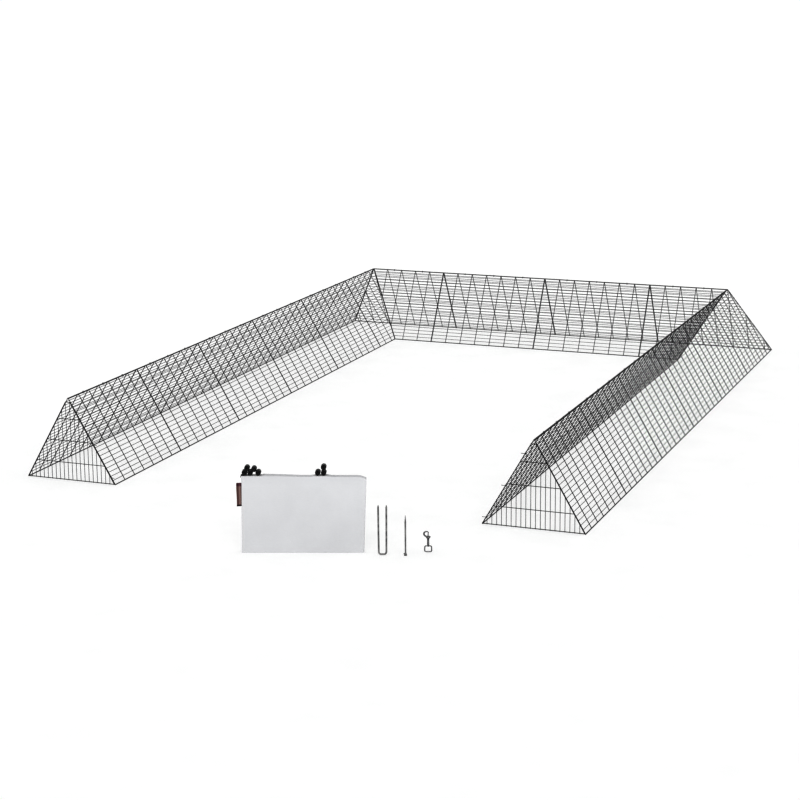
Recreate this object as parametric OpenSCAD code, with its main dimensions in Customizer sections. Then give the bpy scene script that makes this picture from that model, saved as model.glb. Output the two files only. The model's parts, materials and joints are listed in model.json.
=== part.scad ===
// Chicken tunnel run: a U of triangular welded-mesh tunnel with a hinged gate at
// each open end, and the loose kit that comes with it standing in front.
// X runs along the back of the U, +Y away from the gates and +Z up. The origin is
// on the ground, under the middle of the whole thing. All sizes are millimetres.

/* [Run layout] */
// Straight sections in each arm
arm_sections = 5; // [2:1:5]
// Straight sections in the back
back_sections = 2; // [1:1:3]
// Length of one straight section
section_l = 1000; // [800:10:1200]
// Width of the tunnel between the bottom rails' centres
base_w = 700; // [560:10:820]
// Height of the ridge rails' centres above the ground
ridge_z = 597; // [480:1:700]
// Length of a corner's inner bottom rail, to the corner point
corner_inner_l = 364; // [300:1:480]

/* [Mesh] */
// Thickness of the top and bottom rails
rail_d = 6; // [5:0.5:8]
// Thickness of the end rods and cross rods
rod_d = 4; // [3:0.2:5]
// Thickness of the long thin wires
wire_d = 2.4; // [1.6:0.2:3]
// Mesh columns in one section
columns = 7; // [5:1:9]
// Mesh rows from the ridge to the ground
rows = 21; // [14:1:24]
// Flat worn on the underside of each bottom rail
foot_flat = 0.3; // [0.2:0.1:0.6]
// Thickness of a corner's cross rods
corner_cross_d = 3.6; // [2.6:0.2:3.8]
// How far a rail stands past its end rod
rail_past = 0.5; // [0.3:0.1:1]
// Gap between neighbouring panels
part_gap = 0.3; // [0.2:0.1:0.6]

/* [Rings] */
// Wire of the rings round the ridge rails
ridge_ring_wire = 2.6; // [2:0.2:4]
// Wire of the rings that join the sections
joint_ring_wire = 2; // [1.6:0.2:3]
// Play of a ring round what it holds
ring_play = 0.25; // [0.2:0.05:0.5]
// Ridge rings on one straight section
ridge_rings_per_section = 3; // [2:1:3]

/* [Gates] */
// Thickness of the gate's frame and rails
gate_rod_d = 4.5; // [3.5:0.5:6]
// Thickness of the level rails inside the gate's frame
gate_rail_d = 4; // [3:0.5:5]
// Height of the gate's bottom rail
gate_base_z = 7; // [5:1:20]
// Height of the gate's short top rod, low enough to pass the ridge rails
gate_top_z = 572; // [540:1:576]
// Spaces between the gate's upright bars
gate_spaces = 21; // [14:1:25]
// Level rails across the gate
gate_rails = 3; // [1:1:3]
// Height of the lowest level rail
gate_rail_z = 132; // [100:1:150]
// Spacing of the level rails
gate_rail_pitch = 159; // [120:1:162]
// Distance of the gate's frame from its hinge line
hinge_reach = 8; // [7.5:0.5:12]
// Wire of a hinge hook
hook_wire = 3; // [2.4:0.2:3.6]
// Play of a hinge hook round the rod that it turns on
hook_play = 0.35; // [0.2:0.05:0.6]
// Length of a hinge hook's tail past the gate's frame
hook_tail_l = 28; // [15:1:30]

/* [Folded cover] */
// Width of the folded cover
cover_w = 782; // [500:1:900]
// Height of the folded cover as it stands
cover_h = 501; // [300:1:600]
// Folds in the pack
cover_folds = 6; // [4:1:8]
// Thickness of one fold
fold_t = 7.5; // [5:0.5:10]
// Height of the bare side label
label_h = 150; // [80:1:200]
// How far the label stands out
label_out = 33; // [20:1:50]
// Label's height above the ground
label_z = 300; // [50:1:320]
// Thickness of the label
label_t = 2; // [1:0.5:3]

/* [Tie straps] */
// Diameter of a rolled strap
roll_d = 36; // [32:1:46]
// Width of the webbing
strap_w = 36; // [20:1:40]
// Thickness of the webbing
strap_t = 2.4; // [1.6:0.2:2.8]
// Space between the turns of a roll
turn_gap = 0.8; // [0.6:0.1:1.2]
// Turns in a roll
roll_turns = 4; // [3:1:4]
// Rolls on the right, from the cover's middle
right_rolls_x = 92; // [60:1:250]
// Rolls on the left, in from the cover's left edge
left_rolls_in = 8; // [0:1:30]
// Space before the last lower roll on the left
left_rolls_gap = 14; // [0:1:40]

/* [Ground pins] */
// Rod of the U pin
u_pin_d = 10; // [8:0.5:12]
// Height of the U pin
u_pin_h = 324; // [200:1:400]
// Spacing of the U pin's legs, centre to centre
u_pin_span = 51; // [45:1:80]
// Bend radius at the U pin's corners, on the rod's centre
u_pin_bend = 16; // [12:1:20]
// Length of the U pin's points
u_point_l = 12; // [8:1:30]
// Shank of the stake
stake_d = 9; // [7:0.5:12]
// Height of the stake
stake_h = 262; // [180:1:320]
// Length of the stake's point
stake_point_l = 42; // [20:1:60]
// Width of the stake's head
stake_head_d = 18; // [15:1:24]
// Thickness of the stake's head
stake_head_t = 7; // [5:1:12]
// Width of the boss over the stake's head
boss_d = 12.5; // [12.5:0.5:14]
// Height of the boss over the stake's head
boss_h = 10; // [8:1:20]
// How far the nub on the boss stands out
nub_out = 12.6; // [11:0.1:16]

/* [Snap hook] */
// Thickness of the hook's bar
hook_bar_d = 7; // [5:0.5:8]
// Radius of the hook's ring, on the bar's centre
hook_ring_r = 15.2; // [14:0.2:18]
// Width of the swivel eye
eye_w = 51; // [40:1:60]
// Height of the swivel eye
eye_h = 44; // [36:1:50]
// Bar of the swivel eye
eye_bar_d = 6.5; // [5:0.5:7]
// Diameter of the barrel
barrel_d = 13; // [12:0.5:16]
// Length of the barrel
barrel_l = 42; // [40:1:56]
// Bolt of the snap hook
bolt_d = 6; // [5:0.5:7]
// Travel of the bolt
bolt_travel = 11; // [8:1:12]

/* [Kit places] */
// Turn of the kit on the ground
kit_turn = 20; // [0:1:40]
// Folded cover, left and right
cover_x = 517; // [300:1:700]
// Folded cover, behind the gates' line
cover_y = -951; // [-1200:1:-900]
// U pin, left and right
u_pin_x = 998; // [970:1:1060]
// U pin, behind the gates' line
u_pin_y = -840; // [-900:1:-700]
// Stake, left and right
stake_x = 1136; // [1100:1:1180]
// Stake, behind the gates' line
stake_y = -801; // [-900:1:-700]
// Snap hook, left and right
snap_x = 1244; // [1220:1:1400]
// Snap hook, behind the gates' line
snap_y = -688; // [-900:1:-680]

/* [Hidden] */
arm_ids = [1 : arm_sections];
back_ids = [1 : back_sections];
$fn = 48;

black_paint = [0.07, 0.07, 0.08];
dark_steel = [0.30, 0.30, 0.32];
pale_cloth = [0.85, 0.85, 0.87];
black_webbing = [0.05, 0.05, 0.05];
maroon = [0.27, 0.14, 0.14];
outer = 1;
inner = -1;
eps = 0.01;

// The sloping side, from the ridge rail's centre to the bottom rail's centre
rail_off = (rail_d + part_gap) / 2;
foot_z = rail_d / 2 - foot_flat;
slope_run = base_w / 2 - rail_off;
slope_drop = ridge_z - foot_z;
slope_l = norm([slope_run, slope_drop]);
slope_a = atan2(slope_drop, slope_run);
run_share = slope_run / slope_l;
drop_share = slope_drop / slope_l;
row_pitch = slope_l / rows;
column_pitch = section_l / columns;
wire_lift = (rod_d + wire_d) / 2;

// The plan of the run
corner_ridge_l = corner_inner_l + base_w / 2;
arm_l = arm_sections * section_l;
back_l = back_sections * section_l;
apex_x = back_l / 2 + corner_ridge_l;
apex_y = arm_l + corner_ridge_l;

// The whole thing's front and back edges, which centre the origin
cover_t = cover_folds * fold_t;
fold_bulge = 0.2;
cover_front = cover_t / 2 + fold_bulge;
front_y = cover_y - cover_w / 2 * sin(kit_turn) - cover_front * cos(kit_turn);
rear_y = apex_y + base_w / 2 + rail_d / 2;
frame_y = -(front_y + rear_y) / 2;

ridge_ring_in_r = rail_off + rail_d / 2 + ring_play;
joint_ring_in_r = rod_d + rail_past + part_gap / 2 + ring_play;
end_rod_u = (part_gap + rod_d) / 2 + rail_past;
ring_rows = [1.5, floor(rows / 2) + 0.5, rows - 2.5];
mitre_rows = [floor(rows / 5) + 0.5, floor(rows * 3 / 5) + 0.5, rows - 1.5];

// Shared shapes

// A round rod between two points
module rod(from, to, d) {
  way = to - from;
  translate(from)
    rotate([0, acos(way.z / norm(way)), atan2(way.y, way.x)])
      cylinder(d = d, h = norm(way));
}

// A quarter bend of a rod in the upright plane along X, from one angle to 90 more
module quarter_bend(radius, d, from_angle) {
  rotate([90, 0, 0])
    rotate([0, 0, from_angle])
      rotate_extrude(angle = 90)
        translate([radius, 0])
          circle(d = d);
}

// A closed wire ring about Z
module wire_ring(inner_r, wire) {
  rotate_extrude()
    translate([inner_r + wire / 2, 0])
      circle(d = wire, $fn = 24);
}

// Puts a flat panel, drawn as x along the run and y down the slope, on its side
module on_slope(y0) {
  translate([-rail_off, y0, ridge_z])
    rotate([-slope_a, 0, 90])
      children();
}

// A leg of the run has its ridge along Y and reaches its corner at y = 0
module on_side(side) {
  if (side == outer) children();
  else mirror([1, 0, 0]) children();
}

module left_arm() { translate([-apex_x, apex_y + frame_y, 0]) children(); }
module right_arm() { mirror([1, 0, 0]) left_arm() children(); }
module back_from_left() { left_arm() mirror([1, 1, 0]) children(); }
module back_from_right() { mirror([1, 0, 0]) back_from_left() children(); }

function section_y(i) = -corner_ridge_l - i * section_l;

// Takes the worn flat off the bottom rail
module flatten_foot(length) {
  foot_cut = rail_d;
  difference() {
    children();
    translate([-rail_d, slope_l, 0])
      rotate([180 + slope_a, 0, 0])
        translate([0, -rail_d, foot_z])
          cube([length + 2 * rail_d, 2 * rail_d, foot_cut]);
  }
}

// Straight panels

module straight_frame() {
  flatten_foot(section_l)
    union() {
      for (v = [0, slope_l])
        rod([part_gap / 2, v, 0], [section_l - part_gap / 2, v, 0], rail_d);
      for (u = [end_rod_u, section_l - end_rod_u])
        rod([u, 0, 0], [u, slope_l, 0], rod_d);
      for (i = [1 : columns - 1])
        rod([i * column_pitch, 0, 0], [i * column_pitch, slope_l, 0], rod_d);
    }
}

module straight_panel() {
  color(black_paint) {
    straight_frame();
    for (j = [1 : rows - 1])
      rod([part_gap / 2, j * row_pitch, wire_lift],
          [section_l - part_gap / 2, j * row_pitch, wire_lift], wire_d);
  }
}

module arm_panel(side, i) {
  on_side(side) on_slope(section_y(arm_sections - i + 1)) straight_panel();
}

module back_panel(side, i) {
  on_side(side) on_slope(section_y(i)) straight_panel();
}

// Corner panels: the run ends at an upright plane that cuts across at 45 degrees

// Distance from the ridge's centre line, v down the slope and n off the panel
function off_ridge(v, n) = rail_off + run_share * v + drop_share * n;

// Where a rod of radius r that runs along the tunnel has to stop
function mitre_end(side, v, n, r) =
  corner_ridge_l + side * off_ridge(v, n) - r - part_gap / sqrt(2);

// The mitre rod's centre line
function mitre_rod_u(side, v) =
  corner_ridge_l + side * off_ridge(v, 0) - (rod_d + part_gap) / sqrt(2);

// How far down the slope the mitre rod crosses a cross rod
function mitre_v(side, u) =
  (side * (u - corner_ridge_l + (rod_d + part_gap) / sqrt(2)) - rail_off) / run_share;

module corner_cross_rod(side, u) {
  v = min(max(mitre_v(side, u), 0), slope_l);
  if (side == outer) rod([u, v, 0], [u, slope_l, 0], corner_cross_d);
  else rod([u, 0, 0], [u, v, 0], corner_cross_d);
}

module corner_frame(side) {
  last_u = mitre_rod_u(side, side == outer ? slope_l : 0);
  cross_count = floor((last_u - rod_d) / column_pitch);
  flatten_foot(last_u)
    union() {
      for (v = [0, slope_l])
        rod([part_gap / 2, v, 0], [mitre_end(side, v, 0, rail_d / 2), v, 0], rail_d);
      rod([end_rod_u, 0, 0], [end_rod_u, slope_l, 0], rod_d);
      rod([mitre_rod_u(side, 0), 0, 0], [mitre_rod_u(side, slope_l), slope_l, 0], rod_d);
      for (i = [1 : cross_count])
        corner_cross_rod(side, i * column_pitch);
    }
}

module corner_panel(side) {
  color(black_paint)
    on_side(side)
      on_slope(section_y(0)) {
        corner_frame(side);
        for (j = [1 : rows - 1])
          rod([part_gap / 2, j * row_pitch, wire_lift],
              [mitre_end(side, j * row_pitch, wire_lift, wire_d / 2),
               j * row_pitch, wire_lift], wire_d);
      }
}

// Rings

module ridge_ring_row(y0, count, pitch) {
  for (i = [0 : count - 1])
    translate([0, y0 + (0.5 + i) * pitch, ridge_z])
      rotate([90, 0, 0])
        wire_ring(ridge_ring_in_r, ridge_ring_wire);
}

// Keeps every ring half a column away from the cross rods
function ring_pitch() = column_pitch * floor(columns / ridge_rings_per_section);
function ring_start(count) =
  (floor((columns - 1) / 2) - (count - 1) / 2 * floor(columns / count)) * column_pitch
  + column_pitch / 2;

module leg_ridge_rings(section_count) {
  for (i = [1 : section_count])
    ridge_ring_row(section_y(i) + ring_start(ridge_rings_per_section) - ring_pitch() / 2,
                   ridge_rings_per_section, ring_pitch());
}

module corner_ridge_rings() {
  ridge_ring_row(section_y(0) + column_pitch / 2, 2, 2 * column_pitch);
}

module ridge_rings() {
  color(dark_steel) {
    left_arm() leg_ridge_rings(arm_sections);
    right_arm() leg_ridge_rings(arm_sections);
    back_from_left() leg_ridge_rings(back_sections);
    left_arm() corner_ridge_rings();
    right_arm() corner_ridge_rings();
    back_from_left() corner_ridge_rings();
    back_from_right() corner_ridge_rings();
  }
}

// Rings round the two end rods where sections meet, i sections from the corner
module section_joint_rings(side, i) {
  on_side(side)
    on_slope(section_y(i))
      for (r = ring_rows)
        translate([0, r * row_pitch, 0])
          rotate([90, 0, 0])
            wire_ring(joint_ring_in_r, joint_ring_wire);
}

module outer_joint_rings() {
  color(dark_steel) {
    for (i = [0 : arm_sections - 1]) {
      left_arm() section_joint_rings(outer, i);
      right_arm() section_joint_rings(outer, i);
    }
    for (i = [0 : back_sections]) back_from_left() section_joint_rings(outer, i);
  }
}

module arm_inner_joint_rings() {
  color(dark_steel)
    for (i = [1 : arm_sections - 1]) section_joint_rings(inner, i);
}

module back_inner_joint_rings() {
  color(dark_steel)
    for (i = [1 : 1 : back_sections - 1]) back_from_left() section_joint_rings(inner, i);
}

// Rings along the two 45 degree seams of a corner
module mitre_rings(side) {
  seam = [-side * slope_run, side * slope_run, -slope_drop];
  top = [-side * rail_off, side * rail_off, ridge_z];
  step_in = (rod_d + part_gap) / sqrt(2) / 2;
  for (r = mitre_rows)
    translate(top + seam * r / rows + [step_in, -step_in, 0])
      rotate([0, acos(seam.z / norm(seam)), atan2(seam.y, seam.x)])
        wire_ring(joint_ring_in_r, joint_ring_wire);
}

module corner_rings() {
  color(dark_steel) {
    left_arm() { mitre_rings(outer); mitre_rings(inner); }
    right_arm() { mitre_rings(outer); mitre_rings(inner); }
  }
}

// Gates

// The hooks sit a little above the middle of a mesh opening, so their tails miss the wires
hook_rows = [for (row = [floor(rows / 6), floor(rows / 2) + 1, rows - 2]) row + 0.3];
hinge_y = -apex_y + end_rod_u;
gate_y = hinge_y - hinge_reach;
weld_bulge = 1;
hook_neck = 0.4;
function slope_x(z) = rail_off + (ridge_z - z) * slope_run / slope_drop;
function slope_z(x) = ridge_z - (abs(x) - rail_off) * slope_drop / slope_run;

module hinge_hook(row) {
  v = row * row_pitch;
  seat = [rail_off + run_share * v, hinge_y, ridge_z - drop_share * v];
  frame_seat = seat - [0, hinge_reach, 0];
  tail_end = frame_seat + [hook_tail_l, 0, 0];
  ring_in_r = rod_d / 2 + hook_play;
  translate(seat)
    rotate([0, 90 + slope_a, 0])
      wire_ring(ring_in_r, hook_wire);
  rod(seat - [0, ring_in_r + hook_wire / 2, 0], frame_seat, hook_wire - hook_neck);
  rod(frame_seat, tail_end, hook_wire);
}

module gate_frame() {
  corners = [for (z = [gate_base_z, gate_top_z]) [slope_x(z), gate_y, z]];
  far_corners = [for (c = corners) [-c.x, c.y, c.z]];
  union() {
    rod(corners[0], corners[1], gate_rod_d);
    rod(far_corners[0], far_corners[1], gate_rod_d);
    for (i = [0, 1]) rod(far_corners[i], corners[i], gate_rod_d);
    for (p = concat(corners, far_corners)) translate(p) sphere(d = gate_rod_d + weld_bulge);
    for (i = [1 : gate_rails]) {
      z = gate_rail_z + (i - 1) * gate_rail_pitch;
      rod([-slope_x(z), gate_y, z], [slope_x(z), gate_y, z], gate_rail_d);
    }
    for (row = hook_rows) hinge_hook(row);
  }
}

module gate() {
  bar_y = gate_y - (gate_rod_d + wire_d) / 2;
  half_w = slope_x(gate_base_z);
  color(black_paint) {
    gate_frame();
    for (i = [1 : gate_spaces - 1]) {
      x = -half_w + i * 2 * half_w / gate_spaces;
      top_z = min(slope_z(x), gate_top_z + gate_rod_d / 2);
      rod([x, bar_y, gate_base_z - gate_rod_d / 2], [x, bar_y, top_z], wire_d);
    }
  }
}

// The kit in front

module kit_place(x, y) {
  translate([x, y + frame_y, 0]) rotate([0, 0, kit_turn]) children();
}

module folded_cover() {
  body_h = cover_h - fold_t;
  color(pale_cloth)
    kit_place(cover_x, cover_y)
      union() {
        translate([-cover_w / 2, -cover_t / 2, fold_t / 2])
          cube([cover_w, cover_t, body_h]);
        for (i = [0 : cover_folds - 1], z = [fold_t / 2 + fold_bulge, cover_h - fold_t / 2])
          translate([-cover_w / 2, (i + 0.5) * fold_t - cover_t / 2, z])
            rotate([0, 90, 0])
              cylinder(d = fold_t + 2 * fold_bulge, h = cover_w);
      }
}

module side_label() {
  color(maroon)
    kit_place(cover_x, cover_y)
      translate([-cover_w / 2 - label_out, -label_t / 2, label_z])
        cube([label_out, label_t, label_h]);
}

// A strap wound flat: its centre line is a spiral whose radius grows steadily
roll_pitch = strap_t + turn_gap;
roll_steps = 20;
function spiral(r, a) = r * [cos(a), sin(a)];
function roll_r(i) = (roll_d - strap_t) / 2 - roll_pitch * (roll_turns - i / roll_steps);
echo(least_gap_between_turns = roll_pitch - strap_t);

// A roll whose strap ends, at its full radius, in the direction end_a
module strap_roll(end_a) {
  last = roll_turns * roll_steps;
  outside = [for (i = [0 : last]) spiral(roll_r(i) + strap_t / 2, i * 360 / roll_steps)];
  inside = [for (i = [last : -1 : 0]) spiral(roll_r(i) - strap_t / 2, i * 360 / roll_steps)];
  rotate([90, 0, 0])
    rotate([0, 0, end_a])
      linear_extrude(strap_w, center = true)
        polygon(concat(outside, inside));
}

// Rolls lie in a row on the cover, each with its strap's end under it
strap_gap = 0.3;
roll_step = roll_d + strap_gap;
roll_low_z = cover_h + fold_bulge + strap_gap + roll_d / 2;
low_end_a = 270;
function radius_towards(a, end_a) = roll_d / 2 - roll_pitch * ((end_a - a + 360) % 360) / 360;

// On the left the upper rolls lie in the hollows between lower ones that are this far apart
function hollow_a(apart) = acos(apart / 2 / roll_step);
function hollow(apart) =
  let (a = hollow_a(apart), high_end_a = 360 - a,
       to_left = radius_towards(180 + a, high_end_a) + radius_towards(a, low_end_a) + strap_gap,
       to_right = roll_d / 2 + radius_towards(180 - a, low_end_a) + strap_gap,
       x = (to_left ^ 2 - to_right ^ 2 + apart ^ 2) / (2 * apart))
  [x, 0, sqrt(to_left ^ 2 - x ^ 2)];

left_low_x = [0, roll_step, 2 * roll_step + left_rolls_gap];

// On the right the upper roll sits on the last lower one
on_top_z = radius_towards(90, low_end_a) + radius_towards(270, low_end_a) + strap_gap;

module left_tie_straps() {
  color(black_webbing)
    kit_place(cover_x, cover_y)
      translate([left_rolls_in + (roll_d - cover_w) / 2, 0, roll_low_z]) {
        for (x = left_low_x) translate([x, 0, 0]) strap_roll(low_end_a);
        for (i = [0 : 1]) {
          apart = left_low_x[i + 1] - left_low_x[i];
          translate([left_low_x[i], 0, 0] + hollow(apart)) strap_roll(360 - hollow_a(apart));
        }
      }
}

module right_tie_straps() {
  color(black_webbing)
    kit_place(cover_x, cover_y)
      translate([right_rolls_x, 0, roll_low_z]) {
        for (i = [0 : 1]) translate([i * roll_step, 0, 0]) strap_roll(low_end_a);
        translate([roll_step, 0, on_top_z]) strap_roll(low_end_a);
      }
}

point_tip_d = 2;

module u_pin() {
  leg_x = u_pin_span / 2;
  leg_z = u_pin_d / 2 + u_pin_bend;
  bar_x = leg_x - u_pin_bend;
  color(dark_steel)
    kit_place(u_pin_x, u_pin_y)
      union() {
        for (s = [-1, 1]) {
          translate([s * leg_x, 0, leg_z])
            cylinder(d = u_pin_d, h = u_pin_h - u_point_l - leg_z);
          translate([s * leg_x, 0, u_pin_h - u_point_l])
            cylinder(d1 = u_pin_d, d2 = point_tip_d, h = u_point_l);
        }
        rod([-bar_x, 0, u_pin_d / 2], [bar_x, 0, u_pin_d / 2], u_pin_d);
        translate([bar_x, 0, leg_z]) quarter_bend(u_pin_bend, u_pin_d, 270);
        translate([-bar_x, 0, leg_z]) quarter_bend(u_pin_bend, u_pin_d, 180);
      }
}

module ground_stake() {
  nub_d = 5.4;
  nub_z = stake_head_t + boss_h / 2;
  shank_z = stake_head_t + boss_h;
  color(dark_steel)
    kit_place(stake_x, stake_y)
      union() {
        cylinder(d = stake_head_d, h = stake_head_t);
        translate([0, 0, stake_head_t - eps]) cylinder(d = boss_d, h = boss_h + eps);
        translate([0, 0, shank_z - eps])
          cylinder(d = stake_d, h = stake_h - stake_point_l - shank_z + eps);
        translate([0, 0, stake_h - stake_point_l])
          cylinder(d1 = stake_d, d2 = point_tip_d, h = stake_point_l);
        rod([0, 0, nub_z], [-nub_out, 0, nub_z], nub_d);
      }
}

// Snap hook, standing on its swivel eye with the hook upwards
stem_d = 5;
stem_head_d = 8;
stem_head_t = 3;
run_play = 0.15;
neck_t = 4;
eye_clear = 0.3;
swivel_ball_d = 11;
swivel_play = 0.25;
eye_low_z = eye_clear + eye_bar_d / 2;
eye_high_z = eye_clear + eye_h - eye_bar_d / 2;
barrel_z = eye_high_z + swivel_ball_d / 2 + swivel_play;
stem_cavity_z = barrel_z + neck_t;
spring_z = stem_cavity_z + stem_head_t + 2 * run_play + 2;
collar_z = barrel_z + barrel_l;
collar_cone_h = 9;
collar_rim_h = 5;
collar_d = 30;
hook_foot_z = collar_z + collar_cone_h + collar_rim_h;
hook_centre_x = -11;
hook_centre_z = hook_foot_z + hook_ring_r + hook_bar_d / 2 - 2;
tip_a = 20;
hook_sweep = 270 - tip_a;
tip_z = hook_centre_z + hook_ring_r * sin(tip_a) - hook_bar_d / 2 * sin(tip_a);
bolt_top_z = tip_z - 0.3;
bolt_z = spring_z + bolt_travel + 11;
thumb_z = bolt_z + 8;
thumb_d = 4.4;
thumb_ball_d = 7;
thumb_out = 8;

module snap_hook_body() {
  bore_d = bolt_d + 2 * run_play;
  slot_w = thumb_d + 2 * run_play;
  color(dark_steel)
    kit_place(snap_x, snap_y)
      difference() {
        union() {
          translate([0, 0, barrel_z]) cylinder(d = barrel_d, h = barrel_l + eps);
          translate([0, 0, collar_z]) cylinder(d1 = barrel_d, d2 = collar_d, h = collar_cone_h);
          translate([0, 0, collar_z + collar_cone_h - eps])
            cylinder(d = collar_d, h = collar_rim_h + eps);
          translate([hook_centre_x, 0, hook_centre_z])
            rotate([90, 0, 0])
              rotate([0, 0, tip_a])
                rotate_extrude(angle = hook_sweep)
                  translate([hook_ring_r, 0])
                    circle(d = hook_bar_d);
        }
        translate([0, 0, spring_z]) cylinder(d = bore_d, h = hook_foot_z - spring_z + 1);
        translate([0, 0, stem_cavity_z])
          cylinder(d = stem_head_d + 2 * run_play, h = stem_head_t + 2 * run_play);
        translate([0, 0, barrel_z - 1]) cylinder(d = stem_d + 2 * run_play, h = neck_t + 1 + eps);
        translate([-slot_w / 2, 0, thumb_z - bolt_travel - slot_w / 2])
          cube([slot_w, barrel_d, bolt_travel + slot_w]);
      }
}

module snap_hook_bolt() {
  color(dark_steel)
    kit_place(snap_x, snap_y)
      union() {
        translate([0, 0, bolt_z]) cylinder(d = bolt_d, h = bolt_top_z - bolt_z);
        rod([0, 0, thumb_z], [0, barrel_d / 2 + thumb_out, thumb_z], thumb_d);
        translate([0, barrel_d / 2 + thumb_out, thumb_z]) sphere(d = thumb_ball_d);
      }
}

module snap_hook_spring() {
  spring_wire = 0.9;
  spring_d = bolt_d - 0.2;
  color(dark_steel)
    kit_place(snap_x, snap_y)
      translate([0, 0, spring_z])
        difference() {
          cylinder(d = spring_d, h = bolt_z - spring_z);
          translate([0, 0, -1])
            cylinder(d = spring_d - 2 * spring_wire, h = bolt_z - spring_z + 2);
        }
}

module swivel_eye() {
  bar_x = (eye_w - eye_bar_d) / 2;
  bend = 8;
  color(dark_steel)
    kit_place(snap_x, snap_y)
      union() {
        for (z = [eye_low_z, eye_high_z])
          rod([-bar_x + bend, 0, z], [bar_x - bend, 0, z], eye_bar_d);
        for (x = [-bar_x, bar_x])
          rod([x, 0, eye_low_z + bend], [x, 0, eye_high_z - bend], eye_bar_d);
        translate([bar_x - bend, 0, eye_high_z - bend]) quarter_bend(bend, eye_bar_d, 0);
        translate([bend - bar_x, 0, eye_high_z - bend]) quarter_bend(bend, eye_bar_d, 90);
        translate([bend - bar_x, 0, eye_low_z + bend]) quarter_bend(bend, eye_bar_d, 180);
        translate([bar_x - bend, 0, eye_low_z + bend]) quarter_bend(bend, eye_bar_d, 270);
        translate([0, 0, eye_high_z]) sphere(d = swivel_ball_d);
        translate([0, 0, eye_high_z])
          cylinder(d = stem_d, h = stem_cavity_z + run_play - eye_high_z + eps);
        translate([0, 0, stem_cavity_z + run_play])
          cylinder(d = stem_head_d, h = stem_head_t);
      }
}

// What is drawn

for (i = arm_ids) {
  left_arm() arm_panel(outer, i);
  left_arm() arm_panel(inner, i);
  right_arm() arm_panel(outer, i);
  right_arm() arm_panel(inner, i);
}
for (i = back_ids) {
  back_from_left() back_panel(outer, i);
  back_from_left() back_panel(inner, i);
}
left_arm() corner_panel(outer);  // left_corner_outer_arm_panel
left_arm() corner_panel(inner);  // left_corner_inner_arm_panel
back_from_left() corner_panel(outer);  // left_corner_outer_back_panel
back_from_left() corner_panel(inner);  // left_corner_inner_back_panel
right_arm() corner_panel(outer);  // right_corner_outer_arm_panel
right_arm() corner_panel(inner);  // right_corner_inner_arm_panel
back_from_right() corner_panel(outer);  // right_corner_outer_back_panel
back_from_right() corner_panel(inner);  // right_corner_inner_back_panel
ridge_rings();
outer_joint_rings();
corner_rings();
left_arm() arm_inner_joint_rings();  // left_inner_joint_rings
right_arm() arm_inner_joint_rings();  // right_inner_joint_rings
back_inner_joint_rings();
left_arm() gate();  // left_gate
right_arm() gate();  // right_gate
folded_cover();
side_label();
left_tie_straps();
right_tie_straps();
u_pin();
ground_stake();
snap_hook_body();
snap_hook_bolt();
snap_hook_spring();
swivel_eye();
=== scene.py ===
# %% [markdown]
# # A welded-mesh tunnel run for chickens
# The run is a U of triangular tunnel, built from flat welded panels, with a gate at each open
# end and the loose things that come with it standing in front. The CAD part is loaded as a
# fixed frame. Each piece below is a surface worked out with numpy in that same frame, stands
# for one CAD node, and moves with the same body.

import json
import math

import bpy
import numpy as np
from mathutils import Matrix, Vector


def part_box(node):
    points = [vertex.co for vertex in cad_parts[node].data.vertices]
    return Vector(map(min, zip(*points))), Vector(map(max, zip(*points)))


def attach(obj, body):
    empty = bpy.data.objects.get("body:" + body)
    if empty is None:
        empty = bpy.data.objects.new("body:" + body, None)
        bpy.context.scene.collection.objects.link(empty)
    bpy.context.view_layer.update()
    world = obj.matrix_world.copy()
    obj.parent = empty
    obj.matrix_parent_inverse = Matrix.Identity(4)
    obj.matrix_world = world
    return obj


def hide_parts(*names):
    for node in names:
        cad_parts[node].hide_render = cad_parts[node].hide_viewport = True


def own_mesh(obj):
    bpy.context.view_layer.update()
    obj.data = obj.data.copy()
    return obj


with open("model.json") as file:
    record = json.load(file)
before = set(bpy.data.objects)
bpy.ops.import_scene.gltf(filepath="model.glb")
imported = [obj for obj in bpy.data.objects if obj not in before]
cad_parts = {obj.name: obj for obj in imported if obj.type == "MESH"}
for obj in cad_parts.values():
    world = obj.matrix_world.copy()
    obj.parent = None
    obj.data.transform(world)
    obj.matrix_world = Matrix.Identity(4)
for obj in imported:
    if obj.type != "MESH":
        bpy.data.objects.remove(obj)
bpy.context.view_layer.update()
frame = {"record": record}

# %% [markdown]
# ## The sizes of the run
# The panels are flat grids, so every wire's place follows from a few sizes: the section's
# length, the tunnel's width and the ridge's height. They are repeated here from the part's
# source, in millimetres, because a maker's drawing of wire goods is in millimetres too.

# %% Sizes, in millimetres
section_l, base_w, ridge_z, corner_inner_l = 1000.0, 700.0, 597.0, 364.0
rail_d, rod_d, wire_d, corner_cross_d = 6.0, 4.0, 2.4, 3.6
part_gap, rail_past, foot_flat = 0.3, 0.5, 0.3
columns, rows = 7, 21
arm_sections, back_sections = 5, 2
corner_ridge_l = corner_inner_l + base_w / 2

# A slope runs from beside the ridge, where two rails lean on each other, to its foot
rail_off = (rail_d + part_gap) / 2
foot_z = rail_d / 2 - foot_flat
slope_run, slope_drop = base_w / 2 - rail_off, ridge_z - foot_z
slope_l = math.hypot(slope_run, slope_drop)
run_share, drop_share = slope_run / slope_l, slope_drop / slope_l
row_pitch, column_pitch = slope_l / rows, section_l / columns
wire_lift = (rod_d + wire_d) / 2
end_rod_u = (part_gap + rod_d) / 2 + rail_past
print("a mesh opening is", round(column_pitch - rod_d, 1), "by", round(row_pitch - wire_d, 1), "mm")

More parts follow.
